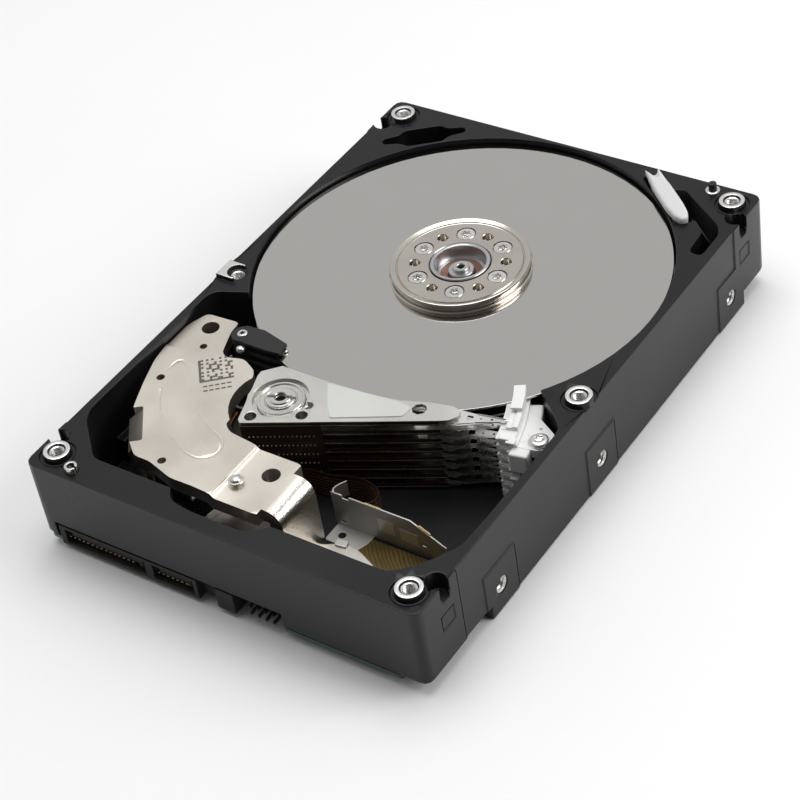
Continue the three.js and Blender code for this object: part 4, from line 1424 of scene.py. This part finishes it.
class DRIVE_OT_parking_ramp(bpy.types.Operator):
    """Rounds the comb that the heads park on, and adds its teeth, gusset and screw"""

    bl_idname = "drive.parking_ramp"
    bl_label = "Parking Ramp"

    # What is cut off above a height to leave the fin: inner and outer radius and two angles round
    # the pivot, and that height.
    LOWERED = [
        (0, 51.0, 5, 35, 22.3), (53.5, 60, 5, 35, 21.4), (50, 54, 5, 15.5, 22.2),
        (50, 54, 15.4, 20.8, 23.3),
    ]
    SMALL_HOLES = [(41.9, -17.0), (43.0, -13.9), (41.6, -19.2)]

    def execute(self, context):
        comb = cad_copy("parking_ramp")
        for inner, outer, start, end, floor in self.LOWERED:
            carve(comb, self.wedge(inner, outer, start, end, floor))
        carve(comb, *(rod(0.42, spot, 20.2, ABOVE, 20) for spot in self.SMALL_HOLES))
        triangles(comb)
        soften(comb, 0.16, steps=2, angle=40)
        finished(comb, "ramp_comb", white_plastic(), "base", "white_plastic", "parking_ramp")
        teeth = []
        for k in range(DISKS):
            middle = disk_top(k) - DISK_T / 2
            tooth = self.wedge(50.1, 52.6, 11.9, 13.6, middle - 0.62, middle + 0.5)
            teeth.append(soften(tooth, 0.3, steps=3))
            step = self.wedge(51.9, 53.9, 11.2, 13.2, middle - 0.4, middle + 0.2)
            teeth.append(soften(step, 0.2, steps=2))
        finished(together(teeth), "ramp_teeth", white_plastic(), "base", "white_plastic")
        gusset = self.wedge(52.9, 57.2, 9.5, 26.5, 15.4, 20.62)
        finished(soften(gusset, 0.5, steps=3), "ramp_gusset", white_plastic(), "base", "white_plastic")
        screw_place = middle_of("ramp_screw")
        washer = turned([(1.2, 20.7), (2.5, 20.7), (2.4, 20.98), (1.2, 20.98)], screw_place[:2], 48)
        finished(smooth(washer), "ramp_washer", bright_steel(), "base", "steel")
        torx_screw("ramp_screw", "ramp_screw_torx", 2.0, 20.98, 21.6, 14.0, 1.05)
        return {"FINISHED"}

    def wedge(self, inner, outer, start, end, bottom, top=ABOVE):
        """A piece of a ring round the pivot, between two radii and two angles."""
        angles = [start + (end - start) * i / 6 for i in range(7)]
        near = [from_pivot(inner, angle) for angle in reversed(angles)] if inner else [PIVOT]
        return plate([from_pivot(outer, angle) for angle in angles] + near, bottom, top)


def torx_screw(node, name, radius, seat, top, end, socket):
    """A domed screw with a star socket in place of a frame screw."""
    x, y = middle_of(node)[:2]
    screw = turned(
        [
            (0.95, end), (0.95, seat), (radius, seat), (radius, top - 0.25),
            (radius * 0.86, top - 0.05), (radius * 0.6, top),
        ],
        segments=56,
        bored=False,
    )
    carve(screw, star_socket(socket, socket * 0.15, top - 0.5, top + 1))
    soften(screw, 0.05, angle=40)
    return finished(placed(screw, shift(x, y) @ turn(17)), name, bright_steel(), "base", "steel", node)


# ---------------------------------------------------------------- the bay's front


class DRIVE_OT_flex_bracket(bpy.types.Operator):
    """Folds the connector bracket, and adds its embossed panels and hook"""

    bl_idname = "drive.flex_bracket"
    bl_label = "Flex Bracket"

    FACE_Y = -43.45
    SHEET = 0.34  # the sheet's thickness

    def execute(self, context):
        corners = [
            (7.7, 4.3), (33.8, 4.3), (36.6, 9.2), (28.1, 13.75), (12.4, 13.75), (12.4, 12.9),
            (10.6, 12.9), (10.6, 13.75), (7.7, 13.75),
        ]
        upright = self.upright(corners, 0.0, self.SHEET)
        holes = self.upright([(30.4, 7.3), (31.4, 7.3), (31.4, 8.3), (30.4, 8.3)], -1, 2)
        slot = self.upright([(9.0, 5.2), (10.6, 5.2), (10.6, 6.0), (9.0, 6.0)], -1, 2)
        carve(upright, holes, slot)
        panels = [
            self.upright([(x, z), (x + w, z), (x + w, z + h), (x, z + h)], self.SHEET, 0.06)
            for x, z, w, h in ((19.4, 7.2, 4.2, 3.6), (25.0, 6.8, 4.6, 3.2))
        ]
        finished(together(panels), "bracket_panels", machined_aluminium(), "base", "aluminium")
        outline = [(8.1, -49), (16.4, -49), (17.6, -46), (17.6, self.FACE_Y), (8.1, self.FACE_Y)]
        foot = plate(outline, 4.0, 4.35, 0.6)
        carve(foot, rod(0.9, (11, -46.4), 3, 6, 32))
        bend = [(9.0, -39.4), (8.3, -40.6), (7.8, -41.8), (7.7, -42.8), (8.3, -43.5)]
        hook = ribbon(bend, self.SHEET, 9.6, 4.15)
        whole = together([upright, foot, hook])
        soften(whole, 0.06, steps=2)
        finished(whole, "formed_bracket", bracket_steel(), "base", "steel", "flex_bracket")
        self.edge_strips()
        return {"FINISHED"}

    def upright(self, corners, near, thickness):
        """A panel drawn in X and Z that stands across the drive."""
        panel = plate(corners, 0, thickness)
        stand = Matrix.Rotation(math.radians(90), 4, "X")
        return placed(panel, shift(y=self.FACE_Y - near) @ stand)

    def edge_strips(self):
        """Gold strips where the circuit's film shows along the bracket's top edge."""
        level = self.upright([(16.4, 13.55), (20.6, 13.55), (20.6, 13.82), (16.4, 13.82)], -0.1, 0.3)
        falling = self.upright([(29.9, 12.75), (32.6, 11.35), (32.8, 11.6), (30.1, 13.0)], -0.1, 0.3)
        finished(together([level, falling]), "bracket_strips", gold_plate(), "base", "copper")


def bracket_steel():
    return grained(
        "bracket_steel",
        (0.42, 0.41, 0.39),
        (0.48, 0.47, 0.45),
        (0.42, 0.52),
        patch=120.0,
        bump=0.08,
        Metallic=1.0,
    )


class DRIVE_OT_floor_circuit(bpy.types.Operator):
    """Lays the amber circuit and its stiffening plate on the bay's floor"""

    bl_idname = "drive.floor_circuit"
    bl_label = "Floor Circuit"

    def execute(self, context):
        film = plate(
            [(19.6, -57.2), (27.0, -57.2), (33.4, -52.0), (34.2, -44.4), (15.0, -44.4)],
            4.1,
            4.34,
            rounding=1.2,
            steps=5,
        )
        finished(soften(film, 0.05), "floor_film", gold_film(), "base", "flex")
        front = [(4.8, -56.4), (24.0, -56.4), (23.0, -51.6)]
        back = [(17.6, -49.2), (13.2, -48.6), (9.0, -51.2), (4.8, -51.2)]
        stiffener = plate(front + back, 4.02, 5.1, rounding=0.9, steps=4)
        tab = plate([(11.8, -50.4), (14.6, -50.0), (14.2, -48.2), (11.4, -48.6)], 4.6, 5.7, rounding=0.35)
        stiffener = together([stiffener, tab])
        soften(stiffener, 0.14)
        finished(stiffener, "circuit_stiffener", machined_aluminium(), "base", "aluminium")
        return {"FINISHED"}


class DRIVE_OT_flex_loop(bpy.types.Operator):
    """Bends the brown circuit that links the arm to the floor, with its printed conductors"""

    bl_idname = "drive.flex_loop"
    bl_label = "Flex Loop"

    ROUTE = [(-7, -42.6), (-2, -39), (3.2, -38.4), (10.4, -36.4), (15.6, -37.6), (17, -40.4), (15.4, -42.8)]
    BEND_END = (6, -37)  # a point along the loop's route
    MIDDLE = 9
    LINES = 7

    def execute(self, context):
        route = self.smooth_route()
        band = ribbon(route, 0.16, 5.0, 7.4)
        finished(smooth(band, 50), "flex_band", brown_film(), None, "flex", "flex_loop")
        lines = [ribbon(route, 0.19, 5.9 + 0.86 * level, 0.1) for level in range(self.LINES)]
        finished(smooth(together(lines), 50), "flex_conductors", winding_copper(), None, "flex")
        for piece in ("flex_band", "flex_conductors"):
            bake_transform(bpy.data.objects[piece])
        return {"FINISHED"}

    def smooth_route(self):
        """Points along a Catmull-Rom curve through the route."""
        points = []
        knots = [self.ROUTE[0], *self.ROUTE, self.ROUTE[-1]]
        for i in range(1, len(knots) - 2):
            a, b, c, d = (Vector(knot) for knot in knots[i - 1 : i + 3])
            for step in range(8):
                t = step / 8
                square = (2 * a - 5 * b + 4 * c - d) * t**2
                cube = (3 * b - a - 3 * c + d) * t**3
                points.append(tuple(0.5 * (2 * b + (c - a) * t + square + cube)))
        points.append(self.ROUTE[-1])
        return points


# ---------------------------------------------------------------- small parts


class DRIVE_OT_small_parts(bpy.types.Operator):
    """Rounds the spoiler, latch, pins and stop, and fits their bright heads"""

    bl_idname = "drive.small_parts"
    bl_label = "Small Parts"

    def execute(self, context):
        rows = [
            ("airflow_spoiler", "spoiler", black_plastic(), "base", "black_plastic", 0.2),
            ("inertia_latch", "latch_lever", black_plastic(), "latch", "black_plastic", 0.25),
            ("crash_stop", "stop_bumper", black_rubber(), "base", "rubber", 0.3),
            ("back_pin", "rear_pin", black_plastic(), "base", "black_plastic", 0.25),
            ("front_pin", "slotted_pin", bright_steel(), "base", "steel", 0.12),
            ("latch_pin", "latch_axle", bright_steel(), "base", "steel", 0.12),
        ]
        for node, name, material, body, slot, width in rows:
            finished(rounded_copy(node, width, steps=3), name, material, body, slot, node)
        self.spoiler_details()
        self.pin_details()
        return {"FINISHED"}

    def spoiler_details(self):
        """A round rivet, a screw's head and a small metal tip on the spoiler."""
        dome = [(0.95, 21.8), (1.12, 22.2), (0.98, 22.7), (0.62, 22.98), (0.2, 23.08)]
        ball = turned(dome, (-31.1, -21.3), 40, bored=False)
        head = turned([(1.25, 23.4), (1.25, 23.72), (1.05, 23.9), (0.7, 23.94)], segments=48, bored=False)
        head = carve(head, star_socket(0.6, 0.1, 23.5, 25))
        soften(head, 0.05)
        head = placed(head, shift(-32.8, -17.9))
        bent = [(-22.2, -18.7, 22.4), (-20.9, -18.9, 22.7), (-20.4, -17.9, 22.9), (-21.4, -17.2, 22.8)]
        tip = pipe(bent, 0.22)
        finished(smooth(together([ball, head, tip]), 40), "spoiler_metal", bright_steel(), "base", "steel")

    def pin_details(self):
        x, y = middle_of("back_pin")[:2]
        ring = turned([(1.0, 23.9), (1.75, 23.9), (1.7, 24.2), (1.5, 24.32), (1.0, 24.32)], (x, y), 48)
        finished(smooth(ring), "rear_pin_collar", bright_steel(), "base", "steel")


# ---------------------------------------------------------------- electronics


class DRIVE_OT_electronics(bpy.types.Operator):
    """Finishes the board with its pads and chips, the plug's contacts and the board's screws"""

    bl_idname = "drive.electronics"
    bl_label = "Electronics"

    UNDER_TONGUE = 3.78
    CONTACT_PITCH = 1.27
    UNDERSIDE = 1.42  # where parts sit on the board
    CHIPS = [(-24, -36, 14, 14, 0.9), (6, -30, 10, 10, 0.8), (-28, -12, 12, 8, 0.8), (22, -14, 6, 5, 0.7)]

    def execute(self, context):
        board = rounded_copy("circuit_board", 0.12)
        finished(board, "printed_board", solder_mask(), "base", "board", "circuit_board")
        for node, name in (("data_connector", "plug_housing"), ("jumper_pins", "jumper_housing")):
            finished(rounded_copy(node, 0.12), name, black_plastic(), "base", "black_plastic", node)
        self.contacts()
        self.parts()
        for i in range(3):
            bottom_screw(f"board_screw_{i + 1}", f"board_screw_{i + 1}_torx")
        return {"FINISHED"}

    def contacts(self):
        """Gold strips under the plug's two tongues."""
        strip = soften(block((-0.3, 0.3), (-72.9, -68.6), (0, 0.14)), 0.03, steps=1)
        places = [
            shift(start + self.CONTACT_PITCH * i, 0, self.UNDER_TONGUE)
            for start, count in ((-44.0, 15), (-19.0, 7))
            for i in range(count)
        ]
        finished(copies(strip, places), "plug_contacts", gold_plate(), "base", "copper")

    def parts(self):
        """Chips, a few rows of small parts and bright test pads under the board."""
        top = self.UNDERSIDE
        chips = []
        for x, y, wide, deep, tall in self.CHIPS:
            chip = block((x - wide / 2, x + wide / 2), (y - deep / 2, y + deep / 2), (top - tall, top))
            chips.append(soften(chip, 0.12))
        finished(together(chips), "board_chips", black_plastic(), "base", "black_plastic")
        small = soften(block((-0.8, 0.8), (-0.45, 0.45), (top - 0.55, top)), 0.1, steps=1)
        places = [shift(-4 + 3.1 * i, -58 + 2.3 * row) for row in range(4) for i in range(7)]
        finished(copies(small, places), "board_parts", stained_copper(), "base", "copper")
        pad = turned([(0.2, top), (0.9, top), (0.9, top - 0.1), (0.2, top - 0.1)], segments=20)
        spots = ring_places(9, 8.0, 10, self.CHIPS[0][:2]) + ring_places(7, 6.6, 4, self.CHIPS[1][:2])
        finished(copies(pad, [shift(*spot) for spot in spots]), "board_pads", gold_plate(), "base", "copper")


def bottom_screw(node, name):
    """A countersunk screw seen from below, in place of a frame screw."""
    x, y, low, high = middle_of(node)
    shank = [(0.95, high), (0.95, low + 1.1)]
    head = [(2.0, low + 0.9), (2.0, low + 0.25), (1.8, low), (1.2, low)]
    screw = turned(shank + head, segments=48, bored=False)
    soften(screw, 0.05, angle=40)
    return finished(placed(screw, shift(x, y)), name, bright_steel(), "base", "steel", node)


# ---------------------------------------------------------------- the filter


class DRIVE_OT_filter(bpy.types.Operator):
    """Fills the felt filter: a crowned pouch with a fork at one end and a taper at the other"""

    bl_idname = "drive.filter"
    bl_label = "Filter Pouch"

    CENTRE = (31.3, 64.0)
    TURN = -40.8

    def execute(self, context):
        low, high = middle_of("filter_pouch")[2:]
        half = [(-9.4, -1.0), (-6.4, -1.6), (6.4, -1.6), (9.4, -0.6)]
        inside = half + [(x, -y) for x, y in reversed(half)]
        crown = [
            (-11.2, -1.5), (-6.6, -2.0), (-2.0, -2.35), (4.4, -2.35), (8.6, -1.8), (10.7, -0.8),
            (10.8, 0.8), (8.6, 1.7), (4.4, 2.0), (-2.0, 1.9), (-6.6, 1.7), (-11.0, 1.5),
            (-6.6, 0.0),
        ]
        pouch = together([plate(inside, low + 0.3, high), plate(crown, high - 0.9, high + 1.15)])
        apply(pouch, "REMESH", mode="VOXEL", voxel_size=0.3 * MM)
        apply(pouch, "SMOOTH", factor=0.6, iterations=10)
        place = shift(*self.CENTRE) @ Matrix.Rotation(math.radians(self.TURN), 4, "Z")
        pouch = placed(pouch, place)
        smooth(pouch, 180)
        finished(pouch, "filter_felt", felt(), "base", "cloth", "filter_pouch")
        return {"FINISHED"}


# ---------------------------------------------------------------- stage


class DRIVE_OT_stage(bpy.types.Operator):
    """Lays the floor, hangs the soft lights and stands the camera"""

    bl_idname = "drive.stage"
    bl_label = "Stage"

    FLOOR_GAP = 0.0002
    LENS = 102.2  # focal length, for a sensor 36 mm wide
    AIM_HEIGHT = 11.0
    OFF_CENTRE = (-3.087, -7.17)  # how far the camera stands to its right and up, in millimetres
    NEAR_SIDE = (0.64, -0.77, 0)
    NEAR_WALL = 0.15  # brightness of the wall on the near side

    def execute(self, context):
        look = context.scene.drive_look
        self.floor(look)
        self.lights()
        self.sky(context, look)
        self.camera(context, look)
        context.scene.view_settings.view_transform = "Standard"
        return {"FINISHED"}

    def floor(self, look):
        pick()
        place = (0, 0, -self.FLOOR_GAP)
        bpy.ops.mesh.primitive_grid_add(x_subdivisions=40, y_subdivisions=40, size=6, location=place)
        ground = bpy.context.object
        ground.name = "floor"
        bpy.ops.object.transform_apply()
        tone = tuple(look.floor_tone)
        paler = tuple(min(1.0, channel * 1.02) for channel in tone)
        paper = grained("floor_paper", tone, paler, (0.75, 0.85), grain=600.0, patch=9.0)
        ground.data.materials.append(paper)

    def lights(self):
        """A broad key overhead, and a soft light to the right."""
        rows = [
            ("key", (-0.1, 0.1, 1.1), 0.9, 7.2),
            ("side", (0.8, 0.35, 0.6), 0.6, 5.0),
        ]
        for name, place, size, power in rows:
            pick()
            bpy.ops.object.light_add(type="AREA", location=place)
            lamp = bpy.context.object
            lamp.name = f"{name}_light"
            lamp.data.size = size
            lamp.data.energy = power
            lamp.rotation_euler = Vector(place).to_track_quat("Z", "Y").to_euler()

    def sky(self, context, look):
        """Studio walls: bright behind the drive, and dark on the near side of it."""
        world = bpy.data.worlds.new("studio")
        world.use_nodes = True
        tree = world.node_tree
        direction = put(tree, "TexCoord").outputs["Generated"]
        near = put(tree, "VectorMath", {"operation": "DOT_PRODUCT"})
        tree.links.new(direction, near.inputs[0])
        near.inputs[1].default_value = self.NEAR_SIDE
        level = between(tree, near.outputs["Value"], -0.3, 0.5, 1.0, self.NEAR_WALL)
        background = tree.nodes["Background"]
        background.inputs["Strength"].default_value = look.sky_strength
        tint = put(tree, "CombineColor", Red=level, Green=level, Blue=level)
        tree.links.new(tint.outputs[0], background.inputs["Color"])
        context.scene.world = world

    def camera(self, context, look):
        """The camera faces the drive's middle from the side, over it, and leans a little."""
        a, b, c = look.camera_azimuth, look.camera_elevation, look.camera_roll
        back = Vector((math.sin(a) * math.cos(b), -math.cos(a) * math.cos(b), math.sin(b)))
        level = Vector((math.cos(a), math.sin(a), 0))
        upright = back.cross(level)
        right = level * math.cos(c) + upright * math.sin(c)
        up = upright * math.cos(c) - level * math.sin(c)
        pick()
        bpy.ops.object.camera_add()
        camera = bpy.context.object
        place = Vector((0, 0, self.AIM_HEIGHT)) * MM + back * look.camera_distance
        place += (right * self.OFF_CENTRE[0] + up * self.OFF_CENTRE[1]) * MM
        turned_axes = Matrix((right, up, back)).transposed().to_4x4()
        camera.matrix_world = Matrix.Translation(place) @ turned_axes
        camera.data.lens = self.LENS
        camera.data.sensor_width = 36.0
        camera.data.clip_start = 0.01
        context.scene.camera = camera


# ---------------------------------------------------------------- add-on


STEPS = [
    DRIVE_OT_base_casting,
    DRIVE_OT_threads,
    DRIVE_OT_disk_stack,
    DRIVE_OT_clamp,
    DRIVE_OT_spindle,
    DRIVE_OT_arm_block,
    DRIVE_OT_trace_ribbons,
    DRIVE_OT_suspensions,
    DRIVE_OT_voice_coil,
    DRIVE_OT_magnet_plate,
    DRIVE_OT_parking_ramp,
    DRIVE_OT_flex_bracket,
    DRIVE_OT_floor_circuit,
    DRIVE_OT_flex_loop,
    DRIVE_OT_small_parts,
    DRIVE_OT_electronics,
    DRIVE_OT_filter,
    DRIVE_OT_stage,
]


class DRIVE_PT_pieces(bpy.types.Panel):
    bl_label = "Hard Disk Drive"
    bl_space_type = "VIEW_3D"
    bl_region_type = "UI"
    bl_category = "Drive"

    def draw(self, context):
        for name in DriveLook.__annotations__:
            self.layout.prop(context.scene.drive_look, name)
        for step in STEPS:
            self.layout.operator(step.bl_idname)


def register():
    for item in (DriveLook, *STEPS, DRIVE_PT_pieces):
        bpy.utils.register_class(item)
    bpy.types.Scene.drive_look = PointerProperty(type=DriveLook)


def unregister():
    del bpy.types.Scene.drive_look
    for item in reversed((DriveLook, *STEPS, DRIVE_PT_pieces)):
        bpy.utils.unregister_class(item)


def main():
    register()
    for step in STEPS:
        area, name = step.bl_idname.split(".")
        getattr(getattr(bpy.ops, area), name)()
    object_mode()


if __name__ == "__main__":
    main()
